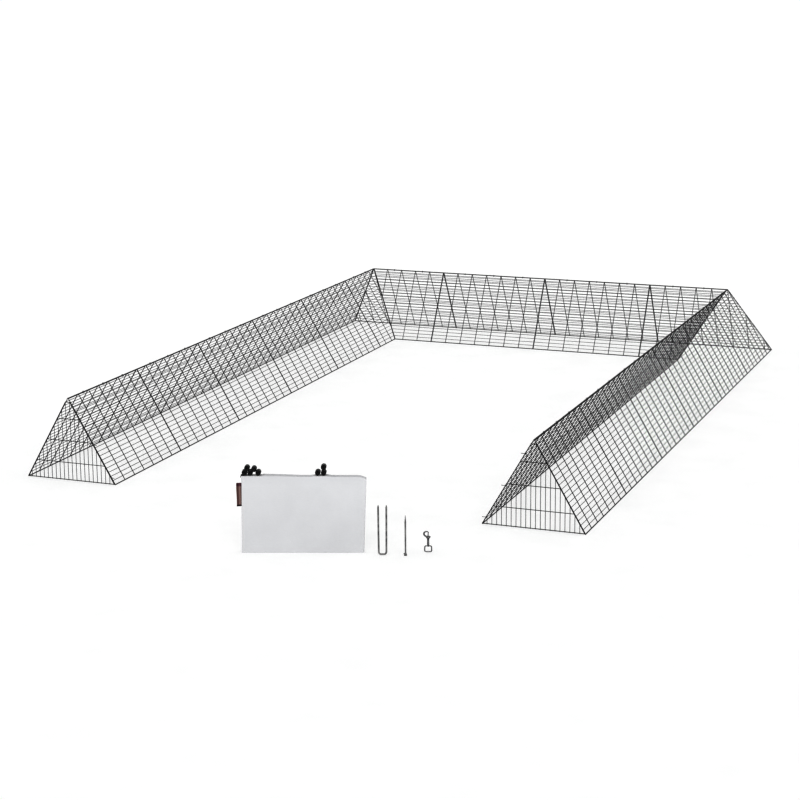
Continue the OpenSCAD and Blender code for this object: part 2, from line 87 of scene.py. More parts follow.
# %% Places, in millimetres
kit_turn = math.radians(20)
cover_w, cover_h, fold_t, cover_folds, fold_bulge = 782.0, 501.0, 7.5, 6, 0.2
cover_at, u_pin_at = (517.0, -951.0), (998.0, -840.0)
stake_at, snap_at = (1136.0, -801.0), (1244.0, -688.0)
apex_x = back_sections * section_l / 2 + corner_ridge_l
apex_y = arm_sections * section_l + corner_ridge_l

# The whole is centred on the origin, so every piece is moved along y by frame_y
front_y = (cover_at[1] - cover_w / 2 * math.sin(kit_turn)
           - (cover_folds * fold_t / 2 + fold_bulge) * math.cos(kit_turn))
frame_y = -(front_y + apex_y + base_w / 2 + rail_d / 2) / 2
print("the ridge corners are at x", apex_x, "and y", round(apex_y + frame_y, 1), "mm")

# %% [markdown]
# ## The camera
# A long lens from a little above, standing to the right of the run: its place, turn and focal
# length were found by matching the ridge joints and feet of the run with where they are in
# the picture. A camera looks along its own -Z, so its three axes are worked out and put in
# the matrix as columns.

# %% Camera
def linked(name, data):
    """An object that holds this data, in the scene and at the origin."""
    thing = bpy.data.objects.new(name, data)
    bpy.context.scene.collection.objects.link(thing)
    return thing


def aimed(yaw, pitch, roll):
    """Three columns: right, up and backwards. Forwards is turned by yaw from +Y and dips by
    pitch, right is level, up is right x forwards, and roll turns right and up together."""
    ahead = np.array([-math.sin(yaw) * math.cos(pitch), math.cos(yaw) * math.cos(pitch),
                      -math.sin(pitch)])
    right = np.array([math.cos(yaw), math.sin(yaw), 0.0])
    up = np.cross(right, ahead)
    c, s = math.cos(roll), math.sin(roll)
    return np.stack([c * right + s * up, c * up - s * right, -ahead], axis=1)


camera_turn = (21.459, 13.406, -0.4258)  # yaw, pitch and roll in degrees
camera_at = (5.4866, -14.42415, 3.8463)  # metres
camera = linked("view_camera", bpy.data.cameras.new("view_camera"))
place = np.eye(4)
place[:3, :3], place[:3, 3] = aimed(*map(math.radians, camera_turn)), camera_at
camera.matrix_world = Matrix(place.tolist())
camera.data.sensor_width, camera.data.lens = 36.0, 90.57
camera.data.clip_start, camera.data.clip_end = 0.1, 2000.0
bpy.context.scene.camera = camera
print("camera", round(float(np.linalg.norm(camera_at)), 1), "metres from the origin")

# %% [markdown]
# ## Shapes as arrays
# A shape here is a pair: an array of points in millimetres, and a list of arrays of corner
# numbers, one row for each face. Whole arrays are worked out at once, so a panel with 176
# welds costs no more lines than one weld.

# %% Points and quads
def points_of(x, y, z):
    """Points from three coordinates. Each may be a number, which is repeated, or an array."""
    return np.stack(np.broadcast_arrays(x, y, z), -1)


def grid(across_rows, across_columns, wrap=False):
    """Corners of the quads between the points of a grid, which are numbered row by row. With
    wrap the last column joins the first."""
    last = across_columns if wrap else across_columns - 1
    r, c = np.meshgrid(np.arange(across_rows - 1), np.arange(last), indexing="ij")
    after = (c + 1) % across_columns
    quads = np.stack([r * across_columns + c, r * across_columns + after,
                      (r + 1) * across_columns + after, (r + 1) * across_columns + c], -1)
    return quads.reshape(-1, 4)


def together(*shapes):
    """Joins shapes: their points are stacked, and each one's corner numbers count on."""
    first = np.cumsum([0] + [len(points) for points, _ in shapes[:-1]])
    faces = [f + n for (_, each), n in zip(shapes, first) for f in each]
    return np.concatenate([points for points, _ in shapes]), faces


def repeated(points, faces):
    """One shape many times: points is (count, points of one, 3), faces are of one."""
    step = np.arange(len(points))[:, None, None] * points.shape[1]
    return points.reshape(-1, 3), [(f[None] + step).reshape(-1, f.shape[1]) for f in faces]


def carried(shape, move):
    """Puts a shape through a move of its points. Where the move mirrors, which shows as a
    negative volume between the moved unit axes, the faces are turned round to point out."""
    points, faces = shape
    origin, *axes = move(np.vstack([np.zeros(3), np.eye(3)]))
    mirrored = np.linalg.det(np.array(axes) - origin) < 0
    return move(points), [f[:, ::-1] for f in faces] if mirrored else faces


print("a 3 by 4 grid has", len(grid(3, 4)), "quads, and", len(grid(3, 4, True)), "when it wraps")

# %% [markdown]
# ## Rods, bent wire, turned pieces and welds
# Wire goods need four shapes. A straight rod has a small chamfer at each cut end. A bent wire
# is a circle carried along a line. A turned piece is a profile spun about Z. A weld is where
# two wires melt together: a small squashed ball of only 24 faces, as there are thousands.

# %% Rods
def tube_faces(rings, sides):
    """The skin between the rings of one tube, with a flat face at each end."""
    start = np.arange(sides)[::-1][None]
    return [grid(rings, sides, wrap=True), start, (rings - 1) * sides + np.arange(sides)[None]]


def rods(starts, ends, diameter, sides=10, chamfer=0.35):
    """Straight round rods. Each has four rings: along its way at 0, c, L - c and L, with
    radius r - c, r, r and r - c, where c is the chamfer."""
    starts, ends = np.atleast_2d(starts).astype(float), np.atleast_2d(ends).astype(float)
    length = np.linalg.norm(ends - starts, axis=-1, keepdims=True)
    ahead = (ends - starts) / length
    across = np.cross(ahead, np.eye(3)[np.abs(ahead).argmin(-1)])
    across /= np.linalg.norm(across, axis=-1, keepdims=True)
    up = np.cross(ahead, across)
    along = np.stack([0 * length, 0 * length + chamfer, length - chamfer, length], 1)
    radius = diameter / 2 - np.array([chamfer, 0, 0, chamfer])
    turn = 2 * np.pi * np.arange(sides)[:, None] / sides
    ring = np.cos(turn) * across[:, None] + np.sin(turn) * up[:, None]
    points = (starts[:, None, None] + (along * ahead[:, None])[:, :, None]
              + radius[None, :, None, None] * ring[:, None])
    return repeated(points.reshape(len(starts), -1, 3), tube_faces(4, sides))


def bent(line, radius, side, sides=10, closed=False):
    """A circle carried along a line. Ahead is the line's own direction, across is the given
    side made square to it, and a ring's points are r (cos a across + sin a up)."""
    line = np.asarray(line, float)
    step = np.roll(line, -1, 0) - np.roll(line, 1, 0) if closed else np.gradient(line, axis=0)
    ahead = step / np.linalg.norm(step, axis=-1, keepdims=True)
    side = np.broadcast_to(np.asarray(side, float), line.shape)
    across = side - (side * ahead).sum(-1, keepdims=True) * ahead
    across /= np.linalg.norm(across, axis=-1, keepdims=True)
    up = np.cross(ahead, across)
    radius = np.broadcast_to(np.asarray(radius, float), len(line))[:, None, None]
    turn = 2 * np.pi * np.arange(sides)[:, None] / sides
    points = line[:, None] + radius * (np.cos(turn) * across[:, None] + np.sin(turn) * up[:, None])
    if closed:
        quads = grid(len(line) + 1, sides, wrap=True) % (len(line) * sides)
        return points.reshape(-1, 3), [quads]
    return points.reshape(-1, 3), tube_faces(len(line), sides)


print("a rod has", sum(map(len, rods([0, 0, 0], [0, 0, 9], 4)[1])), "faces")

# %% Turned pieces and welds
def turned(profile, sides=24):
    """A profile of (radius, height) spun about Z. Its first and last points are on the axis:
    each becomes one point with a fan of triangles, so the pole is closed."""
    radius, height = np.asarray(profile, float)[1:-1].T[:, :, None]
    turn = 2 * np.pi * np.arange(sides) / sides
    rings = points_of(radius * np.cos(turn), radius * np.sin(turn), height)
    poles = np.array([[0, 0, profile[0][1]], [0, 0, profile[-1][1]]], float)
    count, here = len(radius) * sides, np.arange(sides)
    after = (here + 1) % sides
    low = np.stack([np.full(sides, count), after, here], -1)
    high = np.stack([np.full(sides, count + 1), count - sides + here, count - sides + after], -1)
    return (np.concatenate([rings.reshape(-1, 3), poles]),
            [grid(len(radius), sides, wrap=True), low, high])


small_ball = turned([(0, -1), (0.75, -0.66), (1, 0), (0.75, 0.66), (0, 1)], sides=6)


def welds(centres, half_sizes):
    """Squashed balls: a unit ball of 24 faces times three half sizes, at each centre."""
    centres = np.asarray(centres, float).reshape(-1, 1, 3)
    return repeated(centres + small_ball[0] * np.asarray(half_sizes, float), small_ball[1])


print("a weld has", sum(map(len, small_ball[1])), "faces")

# %% [markdown]
# ## Finishes
# A finish is a small tree of shader nodes. A few helpers keep each tree short: one makes a
# material with its Principled shader, one adds a node and joins its inputs, and the others
# name what a node is for. Patterns on the wire read Object coordinates, which are the frame's
# own metres. Patterns on cloth and webbing read the piece's own UV map, which holds the flat
# cut in metres, so the weave bends with the cloth.

# %% Helpers for shader nodes
finishes = {}


def new_finish(name, **shader_values):
    """Makes a material and keeps it under its slot's name. Constants are set on the shader
    itself. Gives the node tree and the shader."""
    finishes[name] = bpy.data.materials.new(name)
    finishes[name].use_nodes = True
    tree = finishes[name].node_tree
    shader = tree.nodes["Principled BSDF"]
    for socket, value in shader_values.items():
        shader.inputs[socket.replace("_", " ")].default_value = value
    return tree, shader


def add(tree, kind, inputs=(), **settings):
    """Adds a node. inputs is a dict from socket to a value, or to another node's output."""
    node = tree.nodes.new(kind)
    for name, value in settings.items():
        setattr(node, name, value)
    for socket, value in dict(inputs).items():
        if isinstance(value, bpy.types.NodeSocket):
            tree.links.new(value, node.inputs[socket])
        else:
            node.inputs[socket].default_value = value
    return node


def surface(tree, shader, colour, roughness, height, strength, distance):
    """Joins a colour and a roughness to the shader, and a height through a Bump node."""
    bump = add(tree, "ShaderNodeBump", {"Height": height, "Strength": strength,
                                        "Distance": distance})
    for socket, value in (("Base Color", colour), ("Roughness", roughness),
                          ("Normal", bump.outputs["Normal"])):
        tree.links.new(value, shader.inputs[socket])


print("finishes made so far:", len(finishes))

# %% Where a pattern lies
def coordinates(tree, kind):
    """Object: the frame's metres. UV: the flat cut's metres. Normal: which way it faces."""
    return add(tree, "ShaderNodeTexCoord").outputs[kind]


def axes_of(tree, vector):
    """The X, Y and Z outputs of a vector."""
    return list(add(tree, "ShaderNodeSeparateXYZ", {"Vector": vector}).outputs)


def upward(tree):
    """How far a surface faces up: the Z of its normal, from -1 to 1."""
    return axes_of(tree, coordinates(tree, "Normal"))[2]


def squeezed(tree, vector, z_scale):
    """Multiplies z, so a pattern is pressed flat along Z, or drawn out if z_scale is under 1."""
    return add(tree, "ShaderNodeMapping",
               {"Vector": vector, "Scale": (1.0, 1.0, z_scale)}).outputs["Vector"]


print("patterns can follow the frame, the flat cut or the way a surface faces")

# %% Values and colours
def maths(tree, operation, a, b=0.0, c=0.0):
    """The output of one Math node."""
    return add(tree, "ShaderNodeMath", {0: a, 1: b, 2: c}, operation=operation).outputs[0]


def weighted(tree, *parts):
    """The sum of each value times its share."""
    total = 0.0
    for value, share in parts:
        total = maths(tree, "MULTIPLY_ADD", value, share, total)
    return total


def wave(tree, *parts):
    """A sine of one or more values, each with its own pitch: sin(2 pi sum(value / pitch))."""
    return maths(tree, "SINE", weighted(
        tree, *[(value, 2 * math.pi / pitch) for value, pitch in parts]))


def spots(tree, vector, scale, detail=3.0):
    """The value output of a noise texture."""
    return add(tree, "ShaderNodeTexNoise",
               {"Vector": vector, "Scale": scale, "Detail": detail}).outputs["Fac"]


def spread(tree, value, low, high, start=0.0, end=1.0):
    """Maps a value from start..end to low..high, and holds it there beyond both."""
    return add(tree, "ShaderNodeMapRange", {"Value": value, "From Min": start, "From Max": end,
                                            "To Min": low, "To Max": high}).outputs["Result"]


def grey(level):
    """The same level in red, green and blue."""
    return level, level, level


def colours(tree, place, *stops):
    """The colour output of a ramp whose stops are (position, (r, g, b))."""
    ramp = add(tree, "ShaderNodeValToRGB", {"Fac": place})
    while len(ramp.color_ramp.elements) < len(stops):
        ramp.color_ramp.elements.new(1.0)
    for element, (at, rgb) in zip(ramp.color_ramp.elements, stops):
        element.position, element.color = at, (*rgb, 1.0)
    return ramp.outputs["Color"]


def between(tree, factor, a, b, blend_type="MIX"):
    """The colour output of a Mix node. Its colour sockets are the seventh and eighth."""
    return add(tree, "ShaderNodeMix", {0: factor, 6: a, 7: b}, data_type="RGBA",
               blend_type=blend_type).outputs[2]


print("values can be added by weight, waved, spotted and turned into colours")

# %% [markdown]
# ### Coated wire
# The panels and gates are welded first and then coated with black powder, baked on: a satin
# skin with fine orange peel, glossier in some places than in others, and a film of dust on
# what faces up. Fine noise gives the peel, coarse noise moves the gloss, and the upward part
# of the normal mixes in the dust.

# %% Black coated wire
def coated_wire(name):
    """Colour: a ramp over coarse patches, mixed with dust, which is the patches times how far
    the surface faces up. The patches set the roughness, and a fine peel the bump."""
    tree, shader = new_finish(name, Specular_IOR_Level=0.5)
    at = coordinates(tree, "Object")
    patches, peel = spots(tree, at, 14.0), spots(tree, at, 1400.0, 2.0)
    up_facing_share = maths(tree, "MULTIPLY", spread(tree, upward(tree), 0.0, 0.10), patches)
    powder = colours(tree, patches, (0.35, (0.026, 0.026, 0.028)), (0.65, (0.044, 0.044, 0.046)))
    surface(tree, shader, between(tree, up_facing_share, powder, (0.20, 0.19, 0.17, 1.0)),
            spread(tree, patches, 0.34, 0.58), peel, 0.25, 0.0002)


coated_wire("black_coated_wire")
print("made", *finishes)

# %% [markdown]
# ### Bare metals
# The clip rings are zinc gone grey, the ground pins are rolled steel with dark scale and long
# drawing marks, the snap hook is a casting with a dull, stained plating, and its spring is
# bright drawn wire. One function makes them all: marks are noise stretched along Z, stains
# are coarse noise between two tones.

# %% Metals
def metal(name, dark, light, rough, depth, stain_scale=40.0, mark_scale=900.0):
    """Tone = 0.7 stains + 0.3 marks: stains are coarse noise, marks are noise drawn out along
    Z. The tone sets the colour and the roughness, and the marks the bump."""
    tree, shader = new_finish(name, Metallic=0.9)
    at = coordinates(tree, "Object")
    stains = spots(tree, at, stain_scale, 5.0)
    marks = spots(tree, squeezed(tree, at, 0.06), mark_scale, 3.0)
    tone = weighted(tree, (stains, 0.7), (marks, 0.3))
    surface(tree, shader, colours(tree, tone, (0.38, dark), (0.62, light)),
            spread(tree, tone, *rough), marks, depth, 0.0003)


metal("dark_zinc_wire", (0.10, 0.10, 0.105), (0.22, 0.22, 0.23), (0.35, 0.6), 0.2)
metal("dark_steel_rod", (0.22, 0.22, 0.224), (0.43, 0.425, 0.42), (0.30, 0.55), 0.35)
metal("dark_cast_metal", (0.17, 0.17, 0.175), (0.37, 0.37, 0.375), (0.25, 0.48), 0.15,
      stain_scale=90.0, mark_scale=500.0)
metal("spring_steel", (0.30, 0.30, 0.31), (0.46, 0.46, 0.47), (0.18, 0.3), 0.1)
print("made", *list(finishes)[1:])

# %% [markdown]
# ### Woven cloth
# The cover is a pale coated cloth in a plain weave. In a plain weave each thread goes over one
# and under the next, so the height is the product of two sines, one along each way of the
# cloth. Hems are turned and sewn along the sides, with two rows of stitches: dashes that come
# and go along the seam. The heads of the folds that face up are painted greyer, as painted
# shade, and the cloth is painted a little darker towards the ground and along a thin strip at
# the top, as painted shade that goes with the height.

# %% Pale cover cloth
thread_pitch, stitch_pitch, hem_w = 0.0016, 0.004, 0.020
seams_from_edge, seam_half = (0.016, 0.0045), 0.0005
# Painted shade by height in metres: darker towards the ground and along a thin strip at the top
painted_height_shades = ((0.0, 0.955), (0.25, 0.975), (0.44, 1.0), (0.49, 0.98), (0.50, 0.94))


def cover_cloth(name, width):
    """Weave = sin u times sin v. A stitch is a narrow band beside the edge, where a sine along
    it is over -0.3. Height = 0.12 weave + hem - 0.6 stitch. Colour = clouds and slubs, then
    the stitches, then a painted shade that greys what faces up, times a painted shade that
    goes with the height."""
    tree, shader = new_finish(name, Sheen_Weight=0.25, Sheen_Roughness=0.5,
                              Specular_IOR_Level=0.35)
    at, (u, v, _) = coordinates(tree, "Object"), axes_of(tree, coordinates(tree, "UV"))
    weave = maths(tree, "MULTIPLY", wave(tree, (u, thread_pitch)), wave(tree, (v, thread_pitch)))
    edge = maths(tree, "SUBTRACT", width / 2, maths(tree, "ABSOLUTE", u))
    hem = maths(tree, "LESS_THAN", edge, hem_w)
    dash = maths(tree, "GREATER_THAN", wave(tree, (v, stitch_pitch)), -0.3)
    seams = [maths(tree, "COMPARE", edge, inwards, seam_half) for inwards in seams_from_edge]
    stitch = maths(tree, "MULTIPLY", maths(tree, "ADD", *seams), dash)
    clouds, slubs = spots(tree, at, 3.5, 4.0), spots(tree, squeezed(tree, at, 14.0), 60.0, 2.0)
    tone = weighted(tree, (clouds, 0.6), (slubs, 0.4))
    cloth = colours(tree, tone, (0.3, (0.603, 0.605, 0.614)), (0.7, (0.651, 0.653, 0.662)))
    cloth = between(tree, stitch, cloth, (*grey(0.70), 1.0))
    # Painted shade: the faces that point up are painted greyer
    up_facing_share = spread(tree, upward(tree), 0.0, 0.55, 0.15, 0.9)
    cloth = between(tree, up_facing_share, cloth, (0.46, 0.46, 0.465, 1.0))
    # Painted shade that goes with the height, multiplied into the cloth's colour
    painted_shade = colours(tree, axes_of(tree, at)[2], *[(z, grey(level)) for z, level in painted_height_shades])
    height = weighted(tree, (weave, 0.12), (hem, 1.0), (stitch, -0.6))
    surface(tree, shader, between(tree, 1.0, cloth, painted_shade, "MULTIPLY"),
            spread(tree, tone, 0.62, 0.8), height, 0.5, 0.0004)


cover_cloth("pale_cover_cloth", cover_w / 1000)
print("made", list(finishes)[-1])

# %% [markdown]
# ### Label ribbon and webbing
# The label is a bare woven ribbon, brown with a paler stripe, and dark where its ends are
# sealed with heat. The straps are black webbing: a twill, whose ribs run slantwise, so the
# height is a sine of the sum of both ways. The woven edges of webbing are tighter and raised.

# %% Label ribbon
label_out, label_h, label_t, stripe_scale, rib_pitch = 27.0, 150.0, 0.5, 0.036, 0.0007


def label_ribbon(name):
    """Colour = the stripe, a ramp across the ribbon, times the sealed ends, a ramp along it.
    Ribs, a sine along the ribbon, set the roughness and the bump."""
    tree, shader = new_finish(name, Sheen_Weight=0.3, Sheen_Roughness=0.4)
    out, up, _ = axes_of(tree, coordinates(tree, "UV"))
    stripe = colours(tree, maths(tree, "DIVIDE", out, stripe_scale),
                     (0.36, (0.22, 0.155, 0.145)), (0.50, (0.385, 0.29, 0.27)),
                     (0.68, (0.37, 0.28, 0.26)), (0.84, (0.19, 0.12, 0.11)),
                     (1.0, (0.18, 0.115, 0.105)))
    ends = colours(tree, maths(tree, "DIVIDE", up, label_h / 1000),
                   (0.0, (0.10, 0.07, 0.08)), (0.055, (0.14, 0.10, 0.11)), (0.075, grey(1.0)),
                   (0.83, grey(1.0)), (0.89, (0.55, 0.38, 0.50)))
    ribs = wave(tree, (up, rib_pitch))
    surface(tree, shader, between(tree, 1.0, stripe, ends, "MULTIPLY"),
            spread(tree, ribs, 0.5, 0.62), ribs, 0.35, 0.0002)


label_ribbon("maroon_label")
print("made", list(finishes)[-1])

# %% Black webbing
twill_along, twill_across, woven_edge = 0.0016, 0.0022, 0.0158


def webbing(name):
    """Twill = a sine of the way along and the way across together. Tone = 0.25 twill + fuzz
    sets the colour. Height = twill, and 1 more on the woven edges."""
    tree, shader = new_finish(name, Sheen_Weight=0.35, Sheen_Roughness=0.45,
                              Specular_IOR_Level=0.3)
    along, across, _ = axes_of(tree, coordinates(tree, "UV"))
    twill = wave(tree, (along, twill_along), (across, twill_across))
    edge = maths(tree, "GREATER_THAN", maths(tree, "ABSOLUTE", across), woven_edge)
    fuzz = spots(tree, coordinates(tree, "Object"), 700.0, 3.0)
    tone = weighted(tree, (twill, 0.25), (fuzz, 1.0))
    thread = colours(tree, tone, (0.2, (0.026, 0.026, 0.027)), (0.9, (0.082, 0.082, 0.085)))
    surface(tree, shader, thread, spread(tree, fuzz, 0.62, 0.85),
            maths(tree, "ADD", twill, edge), 0.6, 0.0004)


webbing("black_webbing")
print("all", len(finishes), "finishes made")

# %% [markdown]
# ## From arrays to a piece
# A mesh is filled in one go with foreach_set, which is far quicker than adding faces one by
# one. The piece then rides on its CAD node's body, stands for that node, and takes its finish
# from the record's slot.

# %% Making a piece
body_of_node = {node: body for body, nodes in frame["record"]["behaviour"]["bodies"].items()
                for node in nodes}


def mesh_from(name, shape, uv=None, sharp=35.0):
    """A mesh in metres from a shape in millimetres. uv gives each point's place on the flat
    cut, in millimetres. Edges that turn by more than sharp degrees stay crisp, and so do the
    cut edges of a sheet, which belong to one face only."""
    points, faces = shape
    mesh = bpy.data.meshes.new(name)
    corners = np.concatenate([f.ravel() for f in faces])
    totals = np.concatenate([np.full(len(f), f.shape[1]) for f in faces])
    mesh.vertices.add(len(points))
    mesh.vertices.foreach_set("co", (points / 1000).astype(np.float32).ravel())
    mesh.loops.add(len(corners))
    mesh.loops.foreach_set("vertex_index", corners.astype(np.int32))
    mesh.polygons.add(len(totals))
    mesh.polygons.foreach_set("loop_start", (np.cumsum(totals) - totals).astype(np.int32))
    mesh.polygons.foreach_set("use_smooth", np.ones(len(totals), bool))
    if uv is not None:
        layer = mesh.uv_layers.new(name="flat_cut")
        layer.data.foreach_set("uv", (uv[corners] / 1000).astype(np.float32).ravel())
    mesh.update(calc_edges=True)
    mesh.validate()
    mesh.set_sharp_from_angle(angle=math.radians(sharp))
    edge_of_corner, crisp = np.zeros(len(corners), np.int32), np.zeros(len(mesh.edges), bool)
    mesh.loops.foreach_get("edge_index", edge_of_corner)
    mesh.edges.foreach_get("use_edge_sharp", crisp)
    cut_edge = np.bincount(edge_of_corner, minlength=len(crisp)) == 1
    mesh.edges.foreach_set("use_edge_sharp", crisp | cut_edge)
    return mesh


def put(name, shape, node, slot, uv=None, sharp=35.0):
    """Makes the piece that stands for a CAD node, on that node's body and in its finish."""
    piece = linked(name, mesh_from(name, shape, uv, sharp))
    piece.data.materials.append(finishes[slot])
    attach(piece, body_of_node[node])
    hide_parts(node)
    return piece


def thicken(sheet, thickness):
    """Gives a sheet its thickness in millimetres, half to each side, with a live modifier."""
    wall = sheet.modifiers.new("thickness", "SOLIDIFY")
    wall.thickness, wall.offset = thickness / 1000, 0.0


print("bodies:", ", ".join(sorted(set(body_of_node.values()))))

# %% [markdown]
# ## Where a panel lies
# A panel is drawn flat: u along the run, v down the slope from the ridge, n off the mesh
# towards the outside. One move tilts it onto its side of the ridge, a second puts that leg
# into the U. The right arm is the left arm's mirror image, and the back is turned at the
# corner.

# %% Moves
OUTER, INNER = 1, -1


def on_side(side, y0):
    """(u, v, n) to a leg whose ridge is along Y: x goes out with run_share of v and
    drop_share of n, z falls with drop_share of v and rises with run_share of n."""
    def move(points):
        u, v, n = np.moveaxis(points, -1, 0)
        return points_of(-side * (rail_off + run_share * v + drop_share * n), y0 + u,
                         ridge_z - drop_share * v + run_share * n)
    return move


def in_leg(leg):
    """A leg to its place in the U: the back swaps x and y, then each is moved to the left
    corner, and what starts from the right corner is mirrored in x."""
    def move(points):
        x, y, z = np.moveaxis(points, -1, 0)
        if leg.startswith("back"):
            x, y = -y, -x
        x, y = x - apex_x, y + apex_y + frame_y
        return points_of(-x if leg in ("right_arm", "back_from_right") else x, y, z)
    return move


def section_y(i):
    """Where the i-th section from the corner starts, along its leg."""
    return -corner_ridge_l - i * section_l


def laid(shape, leg, side, y0):
    """A flat panel shape in its place. The foot is worn level, so no point is under the
    ground."""
    placed = carried(shape, lambda points: in_leg(leg)(on_side(side, y0)(points)))
    placed[0][:, 2] = np.maximum(placed[0][:, 2], 0.0)
    return placed


print("the gates' end rods are at y", round(float(in_leg("left_arm")(
    on_side(OUTER, section_y(arm_sections))(np.zeros((1, 3))))[0, 1]), 1), "mm")

# %% [markdown]
# ## Straight panels
# A section's side is two 6 mm rails, eight 4 mm rods across them, and twenty 2.4 mm wires
# welded on the outside. A resistance weld squeezes the wires into each other and leaves a
# small nugget at every crossing, and a bead where a rod meets a rail.

# %% Straight panel
def lines(u0, v0, u1, v1, n=0.0):
    """Starts and ends of rods in the panel's plane, from numbers or arrays of them."""
    u0, v0, u1, v1 = np.broadcast_arrays(u0, v0, u1, v1)
    return points_of(u0, v0, n).reshape(-1, 3), points_of(u1, v1, n).reshape(-1, 3)


def crossings(u, v, n):
    """Every pair of u and v, at one n."""
    return points_of(*np.meshgrid(u, v, indexing="ij"), n).reshape(-1, 3)


rail_v = np.array([0.0, slope_l])
wire_v = np.arange(1, rows) * row_pitch
cross_u = np.arange(1, columns) * column_pitch
end_u = np.array([end_rod_u, section_l - end_rod_u])
rod_u = np.concatenate([end_u[:1], cross_u, end_u[1:]])

# A wire is thicker by its coating, 0.4 mm all round, and an end rod by less, for the hinge
# hooks turn on it. A nugget's half sizes are along the wire, along the rod and off the panel
coat, pin_coat, bead_in = 0.8, 0.3, 0.3
nugget, end_nugget, slant_nugget = (2.7, 1.9, 1.1), (2.5, 1.9, 1.1), (2.9, 1.9, 1.1)
rail_bead = (2.9, 1.3, 2.5)
weld_n = rod_d / 2 + 0.1
bead_v = np.array([rail_d / 2 + bead_in, slope_l - rail_d / 2 - bead_in])

straight_panel = together(
    rods(*lines(part_gap / 2, rail_v, section_l - part_gap / 2, rail_v), rail_d, sides=12),
    rods(*lines(cross_u, 0.0, cross_u, slope_l), rod_d + coat),
    rods(*lines(end_u, 0.0, end_u, slope_l), rod_d + pin_coat),
    rods(*lines(part_gap / 2, wire_v, section_l - part_gap / 2, wire_v, wire_lift),
         wire_d + coat, sides=8),
    welds(crossings(rod_u, wire_v, weld_n), nugget),
    welds(crossings(rod_u, bead_v, 0.0), rail_bead),
)
print("a straight panel has", sum(map(len, straight_panel[1])), "faces")

# %% [markdown]
# ## Corner panels
# At a corner the run is cut by an upright plane at 45 degrees. A rod of radius r that lies
# off the ridge by a distance d stops where it meets that plane, d further along on the outer
# side and d short on the inner side. A slanting rod closes the cut edge.

# %% Corner panel
def off_ridge(v, n):
    """Distance from the ridge's centre line, v down the slope and n off the panel."""
    return rail_off + run_share * v + drop_share * n


def cut_end(side, v, n, r):
    """Where a rod of radius r along the tunnel stops at the cut."""
    return corner_ridge_l + side * off_ridge(v, n) - r - part_gap / math.sqrt(2)


def cut_rod_u(side, v):
    """The slanting rod's centre line."""
    return corner_ridge_l + side * off_ridge(v, 0) - (rod_d + part_gap) / math.sqrt(2)


def corner_panel(side):
    """Rails, end rod and slanting rod, then the cross rods and the long wires that the cut
    shortens, and welds wherever a rod lies under a wire, up to 3 mm from the slanting rod."""
    slant_v = (side * (np.arange(1, 2 * columns) * column_pitch - corner_ridge_l
                       + (rod_d + part_gap) / math.sqrt(2)) - rail_off) / run_share
    last_u = cut_rod_u(side, slope_l if side == OUTER else 0.0)
    count = int((last_u - rod_d) // column_pitch)
    u, v = np.arange(1, count + 1) * column_pitch, np.clip(slant_v[:count], 0, slope_l)
    start_v, end_v = (v, slope_l) if side == OUTER else (0.0, v)
    wire_u = np.array([cut_end(side, w, wire_lift, wire_d / 2) for w in wire_v])
    on_rods = crossings(np.concatenate([[end_rod_u], u]), wire_v, weld_n)
    room = cut_rod_u(side, on_rods[:, 1]) - on_rods[:, 0]
    on_slant = points_of(cut_rod_u(side, wire_v), wire_v, weld_n)
    rail_beads = crossings([end_rod_u], bead_v, 0.0)
    return together(
        rods(*lines(part_gap / 2, rail_v, cut_end(side, rail_v, 0, rail_d / 2), rail_v), rail_d,
             sides=12),
        rods(*lines(end_rod_u, 0.0, end_rod_u, slope_l), rod_d + pin_coat),
        rods(*lines(cut_rod_u(side, 0.0), 0.0, cut_rod_u(side, slope_l), slope_l), rod_d),
        rods(*lines(u, start_v, u, end_v), corner_cross_d + coat),
        rods(*lines(part_gap / 2, wire_v, wire_u, wire_v, wire_lift), wire_d + coat, sides=8),
        welds(on_rods[room > 3], end_nugget),
        welds(on_slant, slant_nugget),
        welds(rail_beads, rail_bead),
    )


corner_panels = {side: corner_panel(side) for side in (OUTER, INNER)}
print("corner panels:", [sum(map(len, shape[1])) for shape in corner_panels.values()], "faces")

# %% Lay all 32 panels
sides = {"outer": OUTER, "inner": INNER}
places = {f"{arm}_{word}_panel_{i}": (f"{arm}_arm", side, section_y(arm_sections - i + 1))
          for arm in ("left", "right") for word, side in sides.items()
          for i in range(1, arm_sections + 1)}
places |= {f"back_{word}_panel_{i}": ("back_from_left", side, section_y(i))
           for word, side in sides.items() for i in range(1, back_sections + 1)}
corners = {f"{arm}_corner_{word}_{end}_panel": (leg, side)
           for arm in ("left", "right") for word, side in sides.items()
           for end, leg in (("arm", f"{arm}_arm"), ("back", f"back_from_{arm}"))}

panels = [put(f"welded_{node}", laid(straight_panel, leg, side, y0), node, "black_coated_wire")
          for node, (leg, side, y0) in places.items()]
panels += [put(f"welded_{node}", laid(corner_panels[side], leg, side, section_y(0)), node,
               "black_coated_wire") for node, (leg, side) in corners.items()]
print(len(panels), "panels laid")

# %% [markdown]
# ## Clip rings
# The sections are held together by rings of wire squeezed shut with pliers. Such a ring isn't
# a perfect circle: its two cut ends pass each other, so its line is one flat turn of a screw,
# a little more than full. The overlap is turned to the inside, where it is out of sight, and
# to one side at a corner's seam.

# %% Rings
def clip_ring(inner_r, wire, turns=1.05, pitch=1.1, segments=18):
    """r = inner_r + wire / 2, angle from -90 degrees on for so many turns, and z rises by one
    wire and a little in each."""
    turn = np.linspace(0.0, turns, segments)
    angle, radius = 2 * np.pi * turn - np.pi / 2, inner_r + wire / 2
    line = points_of(radius * np.cos(angle), radius * np.sin(angle),
                     (turn - turns / 2) * wire * pitch)
    return bent(line, wire / 2, (0.0, 0.0, 1.0), sides=6)


